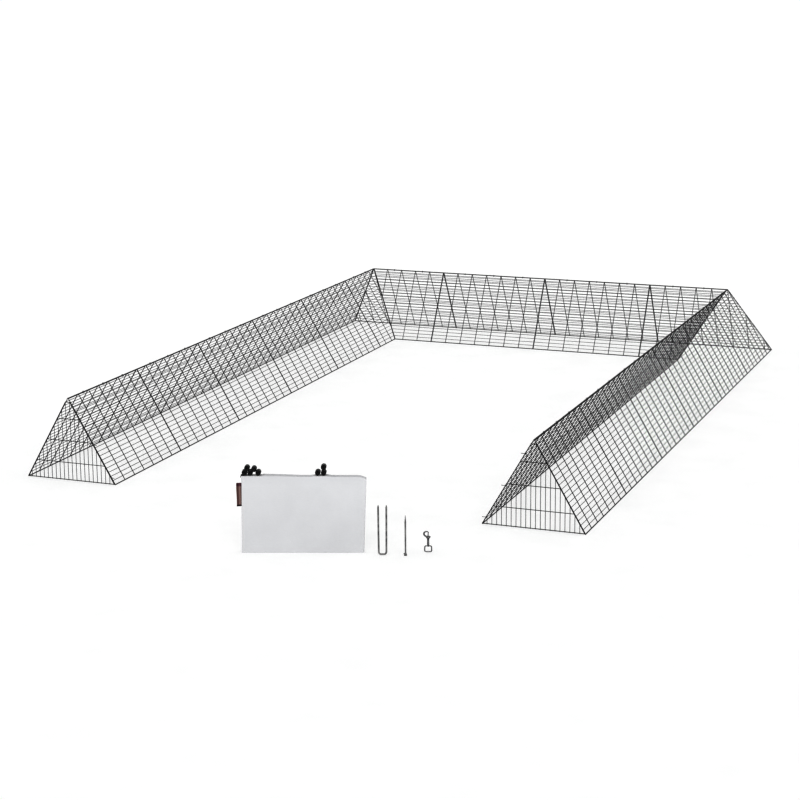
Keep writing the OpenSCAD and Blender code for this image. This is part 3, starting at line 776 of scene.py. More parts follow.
ring_play, ridge_ring_wire, joint_ring_wire = 0.25, 2.6, 2.0
ridge_ring = clip_ring(rail_off + rail_d / 2 + ring_play, ridge_ring_wire)
joint_ring = clip_ring(rod_d + rail_past + part_gap / 2 + ring_play, joint_ring_wire)


def round_ridge(y):
    """Ring axis along the ridge: its own (x, y, z) go to (x, y - z, ridge + y)."""
    return lambda p: points_of(p[..., 0], y - p[..., 2], ridge_z + p[..., 1])


def round_rods(side, y0, v):
    """Ring axis down the slope: its own (x, y, z) go to u = x, v = v - z, n = y."""
    return lambda p: on_side(side, y0)(points_of(p[..., 0], v - p[..., 2], p[..., 1]))


def in_place(shape, leg, move):
    """A ring in one leg of the run, put where that leg is in the U."""
    return carried(shape, lambda points: in_leg(leg)(move(points)))


# A ridge ring sits in the middle of a space between two rods: three to a section, two to a
# corner
legs = {"left_arm": arm_sections, "right_arm": arm_sections, "back_from_left": back_sections}
section_rings = np.array([1.5, 3.5, 5.5]) * column_pitch
corner_rings = section_y(0) + column_pitch * np.array([1.5, 3.5])
ridge_y = {leg: np.concatenate([section_rings + section_y(i) for i in range(1, count + 1)]
                               + [corner_rings]) for leg, count in legs.items()}
ridge_y["back_from_right"] = corner_rings
cad_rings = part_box("ridge_rings")
print("ridge rings:", sum(map(len, ridge_y.values())), "and their node spans x",
      [round(1000 * c.x, 1) for c in cad_rings])

# %% Set all rings
put("clipped_ridge_rings", together(*[
    in_place(ridge_ring, leg, round_ridge(y)) for leg, each in ridge_y.items() for y in each]),
    "ridge_rings", "dark_zinc_wire")

joint_rows, seam_rows = np.array([1.5, 10.5, 18.5]) * row_pitch, (4.5, 12.5, 19.5)


def joint_rings(leg, side, joints):
    """Three rings down the slope at each joint, i sections from the corner."""
    return together(*[in_place(joint_ring, leg, round_rods(side, section_y(i), v))
                      for i in joints for v in joint_rows])


put("clipped_outer_joint_rings", together(
    joint_rings("left_arm", OUTER, range(arm_sections)),
    joint_rings("right_arm", OUTER, range(arm_sections)),
    joint_rings("back_from_left", OUTER, range(back_sections + 1))),
    "outer_joint_rings", "dark_zinc_wire")
for leg, count in legs.items():
    node = f"{leg.split('_')[0]}_inner_joint_rings"
    put(f"clipped_{node}", joint_rings(leg, INNER, range(1, count)), node, "dark_zinc_wire")


def seam_rings(leg, side):
    """Rings whose axis follows the corner's 45 degree seam. They are turned by the matrix
    whose rows are where the ring's own x, y and z go: z along the seam, y level and square to
    it, x square to both."""
    seam = np.array([-side * slope_run, side * slope_run, -slope_drop])
    top = np.array([-side * rail_off, side * rail_off, ridge_z])
    step_in = (rod_d + part_gap) / math.sqrt(2) / 2 * np.array([1, -1, 0])
    axis = seam / np.linalg.norm(seam)
    level = np.cross([0, 0, 1], axis) / np.linalg.norm(np.cross([0, 0, 1], axis))
    turn = np.stack([np.cross(level, axis), level, axis])
    return [in_place(joint_ring, leg, lambda p, r=r: p @ turn + top + seam * r / rows + step_in)
            for r in seam_rows]


put("clipped_corner_rings", together(*[ring for leg in ("left_arm", "right_arm")
                                       for side in (OUTER, INNER)
                                       for ring in seam_rings(leg, side)]),
    "corner_rings", "dark_zinc_wire")
print("six groups of rings set")

# %% [markdown]
# ## Gates
# A gate is a frame of 4.5 mm rod, cut short under the ridge so that it swings past the rails,
# with level rails and thin upright bars welded to its front. Three bent hooks of 3 mm wire
# loop round the end rod of the inner side: that rod is the hinge pin, and because it slants,
# the gate falls shut by its own weight.

# %% Hinge hooks
hook_wire, hook_play, hinge_reach, hook_tail, elbow_r = 3.0, 0.35, 8.0, 28.0, 1.6
hook_rows, loop_from, loop_to, loop_drift = (3.3, 11.3, 19.3), -262, 70, 0.72
hinge_y = -apex_y + end_rod_u


def hinge_hook(row):
    """Wire once round the hinge rod, in the plane square to it, then straight to the frame and
    away along it. (a, b) in that plane are (a slope normal, -b y)."""
    seat = np.array([rail_off + run_share * row * row_pitch, hinge_y,
                     ridge_z - drop_share * row * row_pitch])
    normal, down = np.array([drop_share, 0, run_share]), np.array([run_share, 0, -drop_share])
    to_x, to_y = np.eye(3)[:2]
    radius = rod_d / 2 + hook_play + hook_wire / 2
    angle = np.radians(np.linspace(loop_from, loop_to, 22))[:, None]
    drift = np.linspace(-loop_drift, loop_drift, 22)[:, None] * down
    loop = seat + radius * (np.cos(angle) * normal - np.sin(angle) * to_y) + drift
    neck = seat - to_y * np.linspace(radius, hinge_reach - elbow_r, 4)[:-1, None]
    foot = seat - hinge_reach * to_y
    turn = np.radians(np.linspace(0, 90, 6))[:, None]
    elbow = foot + elbow_r * ((1 - np.cos(turn)) * to_x + (1 - np.sin(turn)) * to_y)
    tail = foot + np.linspace(elbow_r, hook_tail, 3)[1:, None] * to_x
    return [bent(loop, hook_wire / 2, down, sides=8),
            bent(np.concatenate([neck, elbow, tail]), hook_wire / 2, (0, 0, 1.0), sides=8)]


hinge_hooks = [wire for row in hook_rows for wire in hinge_hook(row)]
print(len(hook_rows), "hooks of", len(hinge_hooks) // len(hook_rows), "bends each")

# %% Gate
gate_rod_d, gate_rail_d, gate_rail_z = 4.5, 4.0, 132.0 + 159.0 * np.arange(3)
gate_base_z, gate_top_z, gate_spaces = 7.0, 572.0, 21
frame_bead, rail_end_bead = (3.0, 2.7, 3.0), (2.8, 2.3, 2.6)
bar_nugget, bar_top_nugget = (1.9, 1.1, 2.6), (1.9, 1.2, 2.2)
nugget_out, nugget_under, bar_room = 0.15, 1.4, 2
gate_y = hinge_y - hinge_reach
bar_y = gate_y - (gate_rod_d + wire_d) / 2


def slope_x(z):
    """Half the tunnel's width at a height: the ridge's share plus the fall times run/drop."""
    return rail_off + (ridge_z - z) * slope_run / slope_drop


def gate_shape():
    """Frame, rails, bars, welds and hooks of the left gate, in its leg. A bar at x ends where
    the frame's slope is: z = ridge - (|x| - rail_off) drop / run."""
    z = np.array([gate_base_z, gate_top_z])
    right = points_of(slope_x(z), gate_y, z)
    left = right * (-1, 1, 1)
    from_point = np.stack([right[0], left[0], left[0], left[1]])
    to_point = np.stack([right[1], left[1], right[0], right[1]])
    rail = points_of(slope_x(gate_rail_z), gate_y, gate_rail_z)
    half = slope_x(gate_base_z)
    x = -half + np.arange(1, gate_spaces) * 2 * half / gate_spaces
    top = np.minimum(ridge_z - (np.abs(x) - rail_off) * slope_drop / slope_run,
                     gate_top_z + gate_rod_d / 2)
    xx, zz = np.meshgrid(x, np.concatenate([[gate_base_z], gate_rail_z]), indexing="ij")
    crossed = points_of(xx, gate_y - gate_rail_d / 2 - nugget_out, zz)
    crossed = crossed[np.abs(xx) < slope_x(zz) - bar_room]
    at_top = points_of(x, gate_y - gate_rod_d / 2, top - nugget_under)
    return together(
        rods(from_point, to_point, gate_rod_d, sides=12),
        rods(rail * (-1, 1, 1), rail, gate_rail_d),
        rods(points_of(x, bar_y, gate_base_z - gate_rod_d / 2), points_of(x, bar_y, top),
             wire_d + coat, sides=8),
        welds(np.concatenate([left, right]), frame_bead),
        welds(np.concatenate([rail, rail * (-1, 1, 1)]), rail_end_bead),
        welds(crossed, bar_nugget), welds(at_top, bar_top_nugget), *hinge_hooks)


gate = gate_shape()
for arm in ("left", "right"):
    put(f"welded_{arm}_gate", in_place(gate, f"{arm}_arm", lambda p: p), f"{arm}_gate",
        "black_coated_wire")
print("a gate has", sum(map(len, gate[1])), "faces")

# %% Kit places
def in_kit(x, y):
    c, s = math.cos(kit_turn), math.sin(kit_turn)
    turn = np.array([[c, -s, 0], [s, c, 0], [0, 0, 1]])
    return lambda points: points @ turn.T + np.array([x, y + frame_y, 0])


at_cover = in_kit(*cover_at)
print("the cover's middle is at", (at_cover(np.zeros((1, 3)))[0] / 1000).round(3), "metres")

# %% [markdown]
# ## The folded cover
# The cover is one long sheet folded to and fro into a flat pack and stood on its edge. It
# could be simulated, but a folded pack is all contact, and a sheet that is folded on paper
# first keeps its length exactly. So the section is drawn as one line: up a layer, over a
# rounded head, down the next layer and round to the next fold. Cloth holds a fold loosely at
# the top and tight at the bottom, so the layers of a fold spread apart upwards. Then the
# whole pack gets what the picture shows: a soft belly, layers that don't quite line up, a
# corner that droops on the right, and a right edge that leans in towards the ground.

# %% Folded section
cloth_t, edge_foot_z, bend_foot_z, least_z = 0.9, 0.5, 0.35, 0.31
spread_low, spread_high = 0.55, 3.2
head_z, foot_bend_z = cover_h - fold_t / 2 + 0.2, fold_t / 2


def folded_line(layer_steps=34, bend_steps=6):
    """(y, z) along the pack. In fold i, centred on y = (i + 0.5) fold - half, the layers are
    at -a and +a, a growing steadily with z. The head is half an ellipse with half width
    spread_high, and the bend at the foot half an ellipse out to the next fold's layer."""
    t = np.linspace(0, 1, layer_steps)
    z = foot_bend_z + t * (head_z - foot_bend_z)
    a = spread_low + (spread_high - spread_low) * t
    over = np.linspace(0, np.pi, bend_steps + 2)[1:-1]
    half_gap = fold_t / 2 - spread_low
    y = np.concatenate([-a, -spread_high * np.cos(over), a[::-1],
                        fold_t / 2 - half_gap * np.cos(over)])
    z = np.concatenate([z, head_z + spread_high * np.sin(over), z[::-1],
                        foot_bend_z - (foot_bend_z - bend_foot_z) * np.sin(over)])
    centre = (np.arange(cover_folds) + 0.5) * fold_t - cover_folds * fold_t / 2
    y, z = (centre[:, None] + y).ravel(), np.tile(z, cover_folds)
    y, z = y[:-bend_steps], z[:-bend_steps]
    z[:layer_steps] = np.linspace(edge_foot_z, head_z, layer_steps)
    z[-layer_steps:] = z[:layer_steps][::-1]
    return np.stack([y, z], -1)


section = folded_line()
steps = np.linalg.norm(np.diff(section, axis=0), axis=-1)
flat_y = np.concatenate([[0], np.cumsum(steps)])
print("the cover's flat length is", round(flat_y[-1]), "mm, in", len(section), "steps")

# %% Cover surface
# How much the top stands over or under its mean height, from left to right: level under the
# straps, highest beside them, lower to the right, and a corner that droops
crest_x = [-400, -256, -246, -20, 48, 70, 150, 172, 330, 348, 362, 376, 391, 400]
crest_z = [-0.6, -0.6, 2.6, -5.0, -5.0, -0.6, -0.6, -5.5, -6.5, -7.2, -10, -15, -22, -27]

# Within still_half of the middle the sides don't lean, and further out the left one leans by
# left_foot at the ground and left_rise more at the top. The layer at the front puffs out most
# at front_mid along the sheet
still_half, front_mid, left_foot, left_rise = 120, 240, -2, 9
belly, front_puff, right_lean, edge_wander = 2.2, 0.8, 20, 0.9


def cover_points(across):
    """Every point of the sheet: the section carried from left to right, then moved by smooth
    functions of its place (x, height share h) that all layers share, so none can cross."""
    x, (y, z) = np.meshgrid(across, flat_y)[0], section.T[:, :, None] * np.ones(len(across))
    h = z / cover_h
    right, left = (np.clip((way * x - still_half) / (cover_w / 2 - still_half), 0, 1)
                   for way in (1, -1))
    # y: the belly, two ripples through the pack, and a puff in the layer at the front
    y = y - belly * np.sin(np.pi * h) * np.sin(np.pi * (x / cover_w + 0.5)) ** 2
    y = y + 0.9 * np.sin(x / 61 + 2.1 * h) * np.sin(np.pi * h) + 0.5 * np.sin(x / 27 - 5 * h) * h
    front = np.clip(1 - np.abs(flat_y - front_mid)[:, None] / front_mid, 0, 1) ** 0.5
    y = y - front * front_puff * (1 + np.sin(x / 38 + 4.5 * h + 0.8 * np.sin(x / 90)))
    # z: the crest, which fades fast below the top, and heads that differ a little
    top = np.clip(h, 0, 1) ** 10
    z = z + top * (np.interp(x, crest_x, crest_z)
                   + 0.5 * np.sin(x / 70 + 1.3 * section[:, :1] / fold_t))
    # x: both edges lean, and wander to and fro from layer to layer
    x = x - right_lean * (1 - h) * right ** 2 + (left_rise * h + left_foot) * left ** 3
    x = x + edge_wander * np.sin(flat_y / 310)[:, None] * (2 * x / cover_w) ** 2
    return points_of(x, y, np.maximum(z, least_z))


across = cover_w / 2 * np.sin(np.linspace(-1, 1, 75) * 1.25) / math.sin(1.25)
sheet_points = cover_points(across).reshape(-1, 3)
flat_x, flat_v = np.meshgrid(across, flat_y)
cover = put("folded_cover_cloth", carried((sheet_points, [grid(len(flat_y), len(across))]),
                                          at_cover), "folded_cover", "pale_cover_cloth",
            uv=np.stack([flat_x.ravel(), flat_v.ravel()], -1), sharp=180)
thicken(cover, cloth_t)
print("the cover's cloth has", len(cover.data.polygons), "faces before it gets its thickness")

# %% [markdown]
# ## The label
# A short ribbon is folded double and its ends are sewn in between two layers at the cover's
# left edge, which leans in a little there. Its line is drawn as seen from above and then
# carried up the ribbon's height, with a little bow and twist so that it isn't a flat card.

# %% Label
def label_surface(out, height, tucked=14.0, low=300.0):
    """The fold seen from above is a hairpin: out along -b, round, and back along +b, where the
    half gap b opens from the root to the fold. It bows forward a little, most at mid height."""
    t = np.linspace(0, 1, 12)
    reach = -tucked + t * (out + tucked - 1)
    gap = 0.3 + 0.5 * t ** 2
    turn = np.linspace(-np.pi / 2, np.pi / 2, 7)[1:-1]
    x = np.concatenate([reach, out - 1 + np.cos(turn), reach[::-1]])
    y = np.concatenate([-gap, 0.8 * np.sin(turn), gap[::-1]])
    run = np.concatenate([[0], np.cumsum(np.hypot(np.diff(x), np.diff(y)))])
    up = np.linspace(0, 1, 22)
    xx, hh = np.meshgrid(x, up, indexing="ij")
    bow = 2.4 * (np.clip(xx, 0, None) / out) ** 1.6 * np.sin(2.6 * hh + 0.2)
    points = points_of(-cover_w / 2 - xx + 0.8 * np.sin(6 * hh) * xx / out,
                       y[:, None] - bow, low + hh * height - 1.5 * (xx / out) ** 2)
    flat = np.stack(np.meshgrid(run, up * height, indexing="ij"), -1)
    return points.reshape(-1, 3), flat.reshape(-1, 2), (len(x), len(up)), run[-1]


points, flat, size, label_l = label_surface(label_out, label_h)
label = put("side_label_ribbon", carried((points, [grid(*size)]), at_cover), "side_label",
            "maroon_label", uv=flat, sharp=180)
thicken(label, label_t)
print("the ribbon was cut", round(label_l), "mm long and 150 mm wide")

# %% [markdown]
# ## Rolled tie straps
# Each strap is a piece of webbing rolled up like a tape measure. Its line is a spiral: the
# radius shrinks by one thickness and a small gap for every turn. The webbing's section, flat
# with thicker woven edges, is carried along that line. Hand-rolled straps are never flush, so
# the inner turns stand out a little to one side. One strap has come loose at its end, which
# hangs over the cover's edge.

# %% Strap
roll_d, strap_w, strap_t, turn_gap, roll_turns = 36.0, 36.0, 2.4, 0.8, 4
roll_pitch, strap_gap, lean_l = strap_t + turn_gap, 0.3, 200.0
roll_step = roll_d + strap_gap
roll_low_z = cover_h + fold_bulge + strap_gap + roll_d / 2
half_section = np.array([(1.0, -15.6), (1.0, 0), (1.0, 15.6), (1.2, 16.6), (0.9, 17.8),
                         (0, strap_w / 2), (-0.9, 17.8), (-1.2, 16.6)])
webbing_section = np.concatenate([half_section, -half_section])


def spiral_line(end_a, hand=1):
    """(x, z) of the webbing's middle from the inside out: the radius grows by one pitch each
    turn and ends at the roll's own radius in direction end_a. hand -1 winds the other way."""
    turn = np.linspace(0, roll_turns, roll_turns * 26 + 1)
    radius = (roll_d - strap_t) / 2 - roll_pitch * (roll_turns - turn)
    angle = 2 * np.pi * turn + math.radians(end_a)
    return np.stack([hand * radius * np.cos(angle), radius * np.sin(angle)], -1)


def strap(line, x, z, lean=0.0):
    """The webbing's section carried along the line in the upright plane. Across the strap is
    always y. The inner end is pushed sideways by lean mm, which fades out over lean_l."""
    ahead = np.gradient(line, axis=0)
    ahead /= np.linalg.norm(ahead, axis=-1, keepdims=True)
    normal = np.stack([ahead[:, 1], -ahead[:, 0]], -1)
    run = np.concatenate([[0], np.cumsum(np.linalg.norm(np.diff(line, axis=0), axis=-1))])
    inside = np.clip(1 - run / lean_l, 0, 1) ** 1.5
    a, b = webbing_section.T
    wound = line[:, None] + a[:, None] * normal[:, None]
    points = points_of(x + wound[..., 0], b + lean * inside[:, None], z + wound[..., 1])
    uv = np.stack(np.broadcast_arrays(run[:, None], b[None]), -1).reshape(-1, 2)
    return (points.reshape(-1, 3), tube_faces(len(line), len(webbing_section))), uv, run[-1]


print("a roll's webbing winds through", len(spiral_line(270)), "steps")

# %% Where the rolls lie
def radius_towards(a, end_a):
    """A roll's outer radius in a direction: one pitch less for each turn before its end."""
    return roll_d / 2 - roll_pitch * ((end_a - a) % 360) / 360


def hollow(x, apart):
    """Centre and end direction of a roll that lies in the hollow after a lower roll at x. The
    three centres make a triangle: two sides are sums of radii, the third is apart."""
    a = math.degrees(math.acos(apart / 2 / roll_step))
    to_left = radius_towards(180 + a, 360 - a) + radius_towards(a, 270) + strap_gap
    to_right = roll_d / 2 + radius_towards(180 - a, 270) + strap_gap
    over = (to_left ** 2 - to_right ** 2 + apart ** 2) / (2 * apart)
    return x + over, roll_low_z + math.sqrt(to_left ** 2 - over ** 2), 360 - a


on_top_z = roll_d - roll_pitch / 2 + strap_gap
left_x, right_x = 8.0 + (roll_d - cover_w) / 2, 92.0
low_x = [left_x, left_x + roll_step, left_x + 2 * roll_step + 14.0]
rolls = [("left", x, roll_low_z, 270, lean) for x, lean in zip(low_x, (-2.0, 2.5, -1.5))]
rolls += [("left", *hollow(x, after - x), lean)
          for x, after, lean in zip(low_x, low_x[1:], (3.0, -2.5))]
rolls += [("right", right_x, roll_low_z, 270, 2.0),
          ("right", right_x + roll_step, roll_low_z, 270, -2.0),
          ("right", right_x + roll_step, roll_low_z + on_top_z, 270, 2.5)]
print(len(rolls), "rolls, the tops", [round(z + roll_d / 2 - cover_h) for _, _, z, _, _ in rolls],
      "mm above the cover")

# %% Roll all straps
def loose_tail():
    """From under the first roll along the cover's top to its left edge, over the edge on an
    arc, and down: the line that the first strap goes on with, about the roll's centre."""
    over_r, steepest = 8, math.radians(78)
    flat_run = np.stack([np.linspace(-3, -16, 5), np.full(5, -(roll_d - strap_t) / 2)], -1)
    turn = np.linspace(math.radians(8), steepest, 8)[:, None]
    arc = flat_run[-1] + over_r * np.concatenate([-np.sin(turn), np.cos(turn) - 1], -1)
    way = -np.array([math.cos(steepest), math.sin(steepest)])
    return np.concatenate([flat_run, arc, arc[-1] + np.linspace(2, 7, 3)[:, None] * way])


# The first strap winds the other way, so that its end can leave to the left, and lies half a
# millimetre off its neighbour
for i, (arm, x, z, end_a, lean) in enumerate(rolls):
    line = spiral_line(end_a, hand=-1 if i == 0 else 1)
    line = np.concatenate([line, loose_tail()]) if i == 0 else line
    shape, uv, length = strap(line, x - (0.5 if i == 0 else 0.0), z, lean)
    roll = put(f"rolled_tie_strap_{i + 1}", carried(shape, at_cover), f"{arm}_tie_straps",
               "black_webbing", uv=uv, sharp=50)
print("a rolled strap is", round(length), "mm long")

# %% [markdown]
# ## Ground pins
# The U pin is one steel rod bent cold round a former, its ends cut to short blunt points. Its
# legs spring together a little towards the bend. The stake is turned: a flat head to strike,
# a boss, a shank that swells slightly before its long point, and a nub to hook a loop under.
# Both stand upside down here, points up.

# %% U pin
u_pin_d, u_pin_h, u_pin_span, u_pin_bend, u_point_l = 10.0, 324.0, 51.0, 16.0, 12.0
u_pin_squeeze, u_tip_r, u_tip_end_r = 0.08, 1.2, 0.8


def u_pin_shape():
    """The line runs down the left leg, round two quarter circles and up the right leg, and is
    narrowed by u_pin_squeeze of its width at the bend. The radius falls evenly over a point."""
    half, low = u_pin_span / 2, u_pin_d / 2 + u_pin_bend
    down = np.array([u_pin_h, u_pin_h - u_point_l * 0.5, u_pin_h - u_point_l - 0.01,
                     u_pin_h - u_point_l - 2, 240, 160, 90, 45])
    turn = np.radians(np.linspace(0, 90, 10))
    bend = points_of(-half + u_pin_bend * (1 - np.cos(turn)), 0, low - u_pin_bend * np.sin(turn))
    left = np.concatenate([points_of(-half, 0, down), bend])
    left[:, 0] *= 1 - u_pin_squeeze * (1 - left[:, 2] / u_pin_h) ** 1.5
    line = np.concatenate([left, (left * (-1, 1, 1))[::-1]])
    radius = np.interp(line[:, 2], [u_pin_h - u_point_l, u_pin_h - 1, u_pin_h],
                       [u_pin_d / 2, u_tip_r, u_tip_end_r])
    return bent(line, radius, (0, 1.0, 0), sides=20)


put("bent_u_pin", carried(u_pin_shape(), in_kit(*u_pin_at)), "u_pin", "dark_steel_rod")
print("the U pin's legs are", u_pin_span, "mm apart at their points")

# %% Stake
stake_profile = [(0, 0), (8.3, 0), (9.0, 0.7), (9.0, 6.3), (8.3, 7.0), (6.6, 7.1), (6.25, 7.6),
                 (6.25, 16.2), (5.6, 17.0), (4.6, 17.3), (4.5, 18.5), (4.5, 60), (4.45, 120),
                 (4.6, 180), (4.85, 212), (4.8, 219), (4.5, 222), (3.0, 238), (1.6, 252),
                 (0.9, 260.5), (0.5, 261.7), (0, 262)]
stake = together(turned(stake_profile, sides=28),
                 rods([0, 0, 12.0], [-12.6, 0, 12.0], 5.4, sides=16, chamfer=0.7))
put("turned_ground_stake", carried(stake, in_kit(*stake_at)), "ground_stake", "dark_steel_rod")
print("the stake is", stake_profile[-1][1], "mm tall")

# %% [markdown]
# ## The swivel snap hook
# Four pieces: a cast body with the hook, a bolt that a thumb stud pulls down against a spring,
# the spring inside the barrel, and an eye that turns on its stem. The barrel is a profile
# spun about Z with its bore, and the stud's slot is cut with a Boolean. The hook starts thick
# at its root, where the load is greatest, and thins towards its tip.

# %% Snap hook sizes, in millimetres
# Heights are counted from the ground, from the eye's foot up to the hook
eye_w, eye_h, eye_bar_d, ball_r, snap_gap, ball_gap = 51.0, 44.0, 6.5, 5.5, 0.3, 0.25
eye_low_z, eye_high_z = snap_gap + eye_bar_d / 2, snap_gap + eye_h - eye_bar_d / 2
neck_l, stem_head_t, bore_floor_t = 4.0, 3.0, 2.0
barrel_z = eye_high_z + ball_r + ball_gap
stem_cavity_z = barrel_z + neck_l
spring_d, spring_l, spring_wire = 5.8, 22.0, 0.9
spring_z = stem_cavity_z + stem_head_t + snap_gap + bore_floor_t
collar_z = barrel_z + 42.0
hook_foot_z = collar_z + 14.0
hook_ring_r, hook_tip_a, hook_arc, bolt_r = 15.2, 20, 250, 3.0
hook_x, hook_z = -11.0, hook_foot_z + hook_ring_r + 1.5
bolt_z = spring_z + spring_l
bolt_top_z = hook_z + (hook_ring_r - 3.5) * math.sin(math.radians(hook_tip_a)) - snap_gap
thumb_z = bolt_z + 8.0
bolt_travel, slot_half = 11.0, 2.35
in_snap = in_kit(*snap_at)
print("the barrel's foot is", barrel_z, "mm up, the hook's top", round(hook_z + hook_ring_r, 1))

# %% Cutting and welding on
def block(low, high):
    """A box: its eight corners are every choice between low and high, in x, y and z."""
    corner = np.stack(np.meshgrid(*zip(low, high), indexing="ij"), -1).reshape(-1, 3)
    return corner, [np.array([(0, 1, 3, 2), (4, 6, 7, 5), (0, 4, 5, 1), (2, 3, 7, 6),
                              (0, 2, 6, 4), (1, 5, 7, 3)])]


def combine(piece, shape, operation):
    """Cuts a shape out of a piece, or welds it on, with a Boolean that is applied at once."""
    other = linked("tool", mesh_from("tool", shape))
    change = piece.modifiers.new("combine", "BOOLEAN")
    change.object, change.operation, change.solver = other, operation, "EXACT"
    view = bpy.context.evaluated_depsgraph_get()
    mesh = bpy.data.meshes.new_from_object(piece.evaluated_get(view))
    piece.modifiers.clear()
    piece.data = mesh
    bpy.data.objects.remove(other)


print("a block has", len(block((0, 0, 0), (1, 1, 1))[1][0]), "faces")

# %% Snap hook body
def barrel_shape():
    """From the stem's cavity on the axis, down and out of the neck, up the outside with its
    cup-shaped collar, in over the rim, down the bore and back to the axis."""
    z, c, f = barrel_z, collar_z, hook_foot_z
    profile = [(0, stem_cavity_z + 3.3), (4.15, stem_cavity_z + 3.3), (4.15, stem_cavity_z),
               (2.65, stem_cavity_z), (2.65, z), (5.9, z), (6.5, z + 0.6), (6.5, z + 3),
               (7.0, z + 4), (7.0, z + 6), (6.5, z + 7), (6.35, z + 20), (6.5, c - 2),
               (8.0, c + 1.0), (11.6, c + 4.6), (14.2, c + 8.4), (15.0, c + 10), (15.0, f - 1.4),
               (14.2, f - 0.2), (12.8, f - 0.6), (9.0, f - 1.6), (5.0, f - 1.0), (3.6, f - 0.6),
               (3.15, f - 1.0), (3.15, spring_z), (0, spring_z)]
    return turned(profile, sides=40)


def hook_shape():
    """A circle carried round an arc from the tip at hook_tip_a to the root. Its radius swells
    from 2.7 mm behind the tip to 4.5 mm at the root, and rounds off to the tip."""
    share = np.linspace(0, 1, 34)
    angle = np.radians(hook_tip_a + hook_arc * share)
    line = points_of(hook_x + hook_ring_r * np.cos(angle), 0,
                     hook_z + hook_ring_r * np.sin(angle))
    smooth = np.clip(share / 0.62, 0, 1)
    radius = 2.7 + 1.8 * smooth ** 2 * (3 - 2 * smooth)
    rounded = np.clip(share / 0.03 + 0.45, 0, 1) ** 0.5
    return bent(line, radius * rounded, (0, 1.0, 0), sides=16)


body = put("cast_snap_hook_body", carried(barrel_shape(), in_snap), "snap_hook_body",
           "dark_cast_metal", sharp=50)
stud_slot = block((-slot_half, 0.0, thumb_z - bolt_travel - slot_half),
                  (slot_half, 13.0, thumb_z + slot_half))
combine(body, carried(stud_slot, in_snap), "DIFFERENCE")
combine(body, carried(hook_shape(), in_snap), "UNION")
body.data.set_sharp_from_angle(angle=math.radians(45))
print("the cast body has", len(body.data.polygons), "faces")

# %% Bolt with its thumb stud
def stud_out(points):
    """A turned piece about Z laid out along +Y at the stud's height."""
    x, y, z = np.moveaxis(points, -1, 0)
    return points_of(x, z, thumb_z - y)


bolt = turned([(0, bolt_z), (2.5, bolt_z), (bolt_r, bolt_z + 0.5), (bolt_r, bolt_top_z - 1.2),
               (2.6, bolt_top_z - 0.4), (1.6, bolt_top_z), (0, bolt_top_z)], sides=24)
stud = turned([(0, 0), (2.2, 0.1), (2.2, 10.0), (2.0, 10.8), (2.9, 11.4), (3.5, 12.9),
               (3.5, 15.2), (3.0, 16.8), (1.9, 17.8), (0, 18.0)], sides=24)
put("snap_hook_bolt_and_stud", carried(together(bolt, carried(stud, stud_out)), in_snap),
    "snap_hook_bolt", "dark_cast_metal")
print("the bolt is", round(bolt_top_z - bolt_z, 1), "mm long")

# %% Spring
def spring_shape(coils=8.5, flat=0.7):
    """A screw line: the angle grows evenly, and the height with it, but for a part turn at
    each end that lies nearly flat and rises by a quarter of the wire."""
    turn = np.linspace(0, coils, int(coils * 16) + 1)
    rise = np.clip((turn - flat) / (coils - 2 * flat), 0, 1)
    angle, radius = 2 * np.pi * turn, (spring_d - spring_wire) / 2
    outwards = points_of(np.cos(angle), np.sin(angle), 0)
    height = spring_z + spring_wire / 2 + 0.02 + rise * (spring_l - spring_wire - 0.04)
    ends = np.clip(turn / flat, 0, 1) + np.clip((turn - coils + flat) / flat, 0, 1) - 1
    height = height + 0.25 * spring_wire * ends
    return bent(radius * outwards + points_of(0, 0, height), spring_wire / 2, outwards, sides=6)


spring = put("wound_spring", carried(spring_shape(), in_snap), "snap_hook_spring", "spring_steel")
spring_foot = in_snap(np.array([[0, 0, spring_z]]))[0] / 1000
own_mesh(spring)
print("the spring stands on", spring_foot.round(4))

# %% Swivel eye
def eye_shape(bend=9.0, top_share=0.06):
    """The line is a rectangle with quarter circles for corners, a little narrower at the top.
    The bar is carried round it. The ball and the stem with its head are turned."""
    half = (eye_w - eye_bar_d) / 2 - bend
    mid_z, half_z = (eye_low_z + eye_high_z) / 2, (eye_high_z - eye_low_z) / 2 - bend
    quarter = np.linspace(0, 90, 8)
    angle = np.radians(np.concatenate([quarter + a for a in (0, 90, 180, 270)]))
    corner = np.repeat([(1, 1), (-1, 1), (-1, -1), (1, -1)], len(quarter), axis=0)
    x = corner[:, 0] * half + bend * np.cos(angle)
    z = mid_z + corner[:, 1] * half_z + bend * np.sin(angle)
    x = x * (1 - top_share * (z - eye_low_z) / (eye_high_z - eye_low_z))
    eye = bent(points_of(x, 0, z), eye_bar_d / 2, (0, 1.0, 0), sides=16, closed=True)
    t = stem_cavity_z + 0.15
    ball = turned([(0, eye_high_z - 5.4), (2.6, eye_high_z - 4.8), (4.6, eye_high_z - 3.0),
                   (5.4, eye_high_z - 0.4), (5.4, eye_high_z + 1.6), (4.6, eye_high_z + 3.6),
                   (3.2, eye_high_z + 4.9), (2.5, eye_high_z + 5.2), (2.5, t), (4.0, t),
                   (4.0, t + 3.0), (0, t + 3.0)], sides=28)
    return together(eye, ball)


put("cast_swivel_eye", carried(eye_shape(), in_snap), "swivel_eye", "dark_cast_metal", sharp=50)
print("the eye is", eye_w, "by", eye_h, "mm, and its stem's head turns", round(stem_cavity_z, 1),
      "mm up")

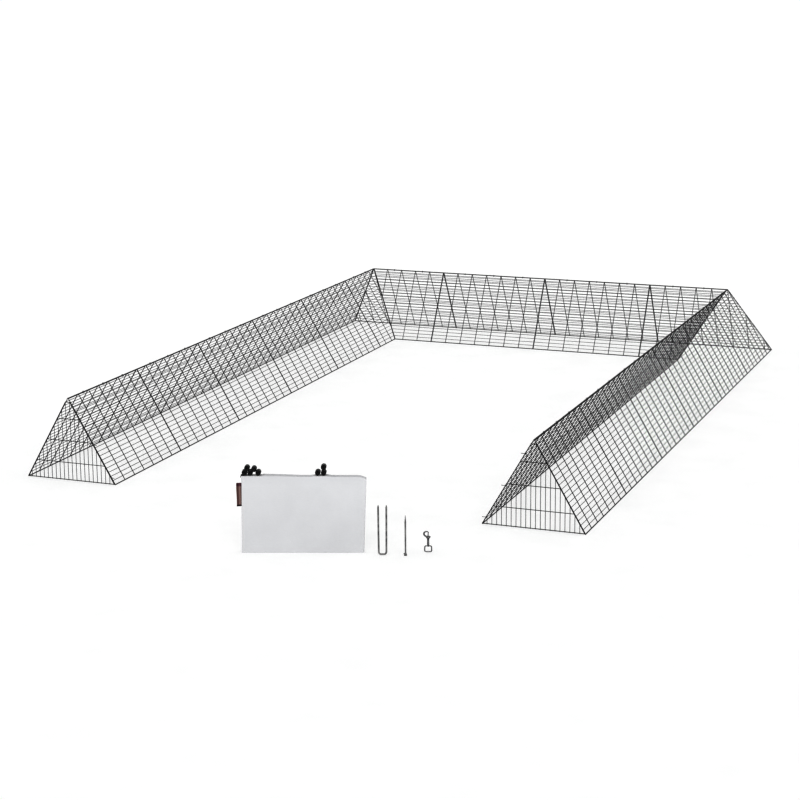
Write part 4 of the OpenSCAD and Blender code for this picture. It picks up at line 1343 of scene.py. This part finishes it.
# %% [markdown]
# ## Floor and light
# The picture is a studio cut-out on white: the floor is as bright as the sky and takes hardly
# any shadow. So a very large pale floor runs past the horizon of the view, and it glows a
# little, like a light table: the light it sends back and its own glow add up to white. The
# sky gives an even light from all round, and one wide, soft sun from behind the camera lights
# the fronts and throws what faint shadow there is behind.

# %% Floor
floor_half, floor_z, floor_glow = 900000.0, -0.2, 0.685
floor_corners = points_of(floor_half * np.array([-1, 1, 1, -1]),
                          floor_half * np.array([-1, -1, 1, 1]), floor_z)
floor = linked("studio_floor", mesh_from("studio_floor", (floor_corners, [np.arange(4)[None]])))
tree, shader = new_finish("pale_floor", Roughness=0.9, Specular_IOR_Level=0.1,
                          Emission_Color=(1.0, 1.0, 1.0, 1.0), Emission_Strength=floor_glow)
grain = spots(tree, coordinates(tree, "Object"), 3.0)
tree.links.new(colours(tree, grain, (0.3, grey(0.25)), (0.7, grey(0.27))),
               shader.inputs["Base Color"])
floor.data.materials.append(finishes["pale_floor"])
print("the floor reaches", floor_half / 1000, "metres each way")

# %% Light
world = bpy.data.worlds.new("studio_sky")
bpy.context.scene.world = world
world.use_nodes = True
sky = world.node_tree.nodes["Background"]
sky.inputs["Color"].default_value = (1.0, 1.0, 1.0, 1.0)
sky.inputs["Strength"].default_value = 1.0

# A sun shines along its own -Z: it is tipped by 90 degrees less its height, and then turned
sun_turn, sun_height, sun_width = 19, 32, 50
key = linked("key_light", bpy.data.lights.new("key_light", "SUN"))
key.data.energy, key.data.angle = 1.3, math.radians(sun_width)
key.rotation_euler = (math.radians(90 - sun_height), 0, math.radians(sun_turn))
print("key light", key.data.energy, "and sky", sky.inputs["Strength"].default_value)

# %% [markdown]
# ## How a thin wire is shown
# Most wires are thinner than a pixel, so a pixel holds the mean of black wire and white
# ground. In the picture that mean was taken of finished grey tones, but a render takes it of
# light, and a screen then lifts it, which makes mesh look thin and pale. A gamma of 1 / 2.2
# takes that lift back, so a pixel half covered by wire is shown half grey.

# %% View
look = bpy.context.scene.view_settings
look.view_transform, look.gamma = "Standard", 0.4545
print("view", look.view_transform, "with gamma", round(look.gamma, 4))
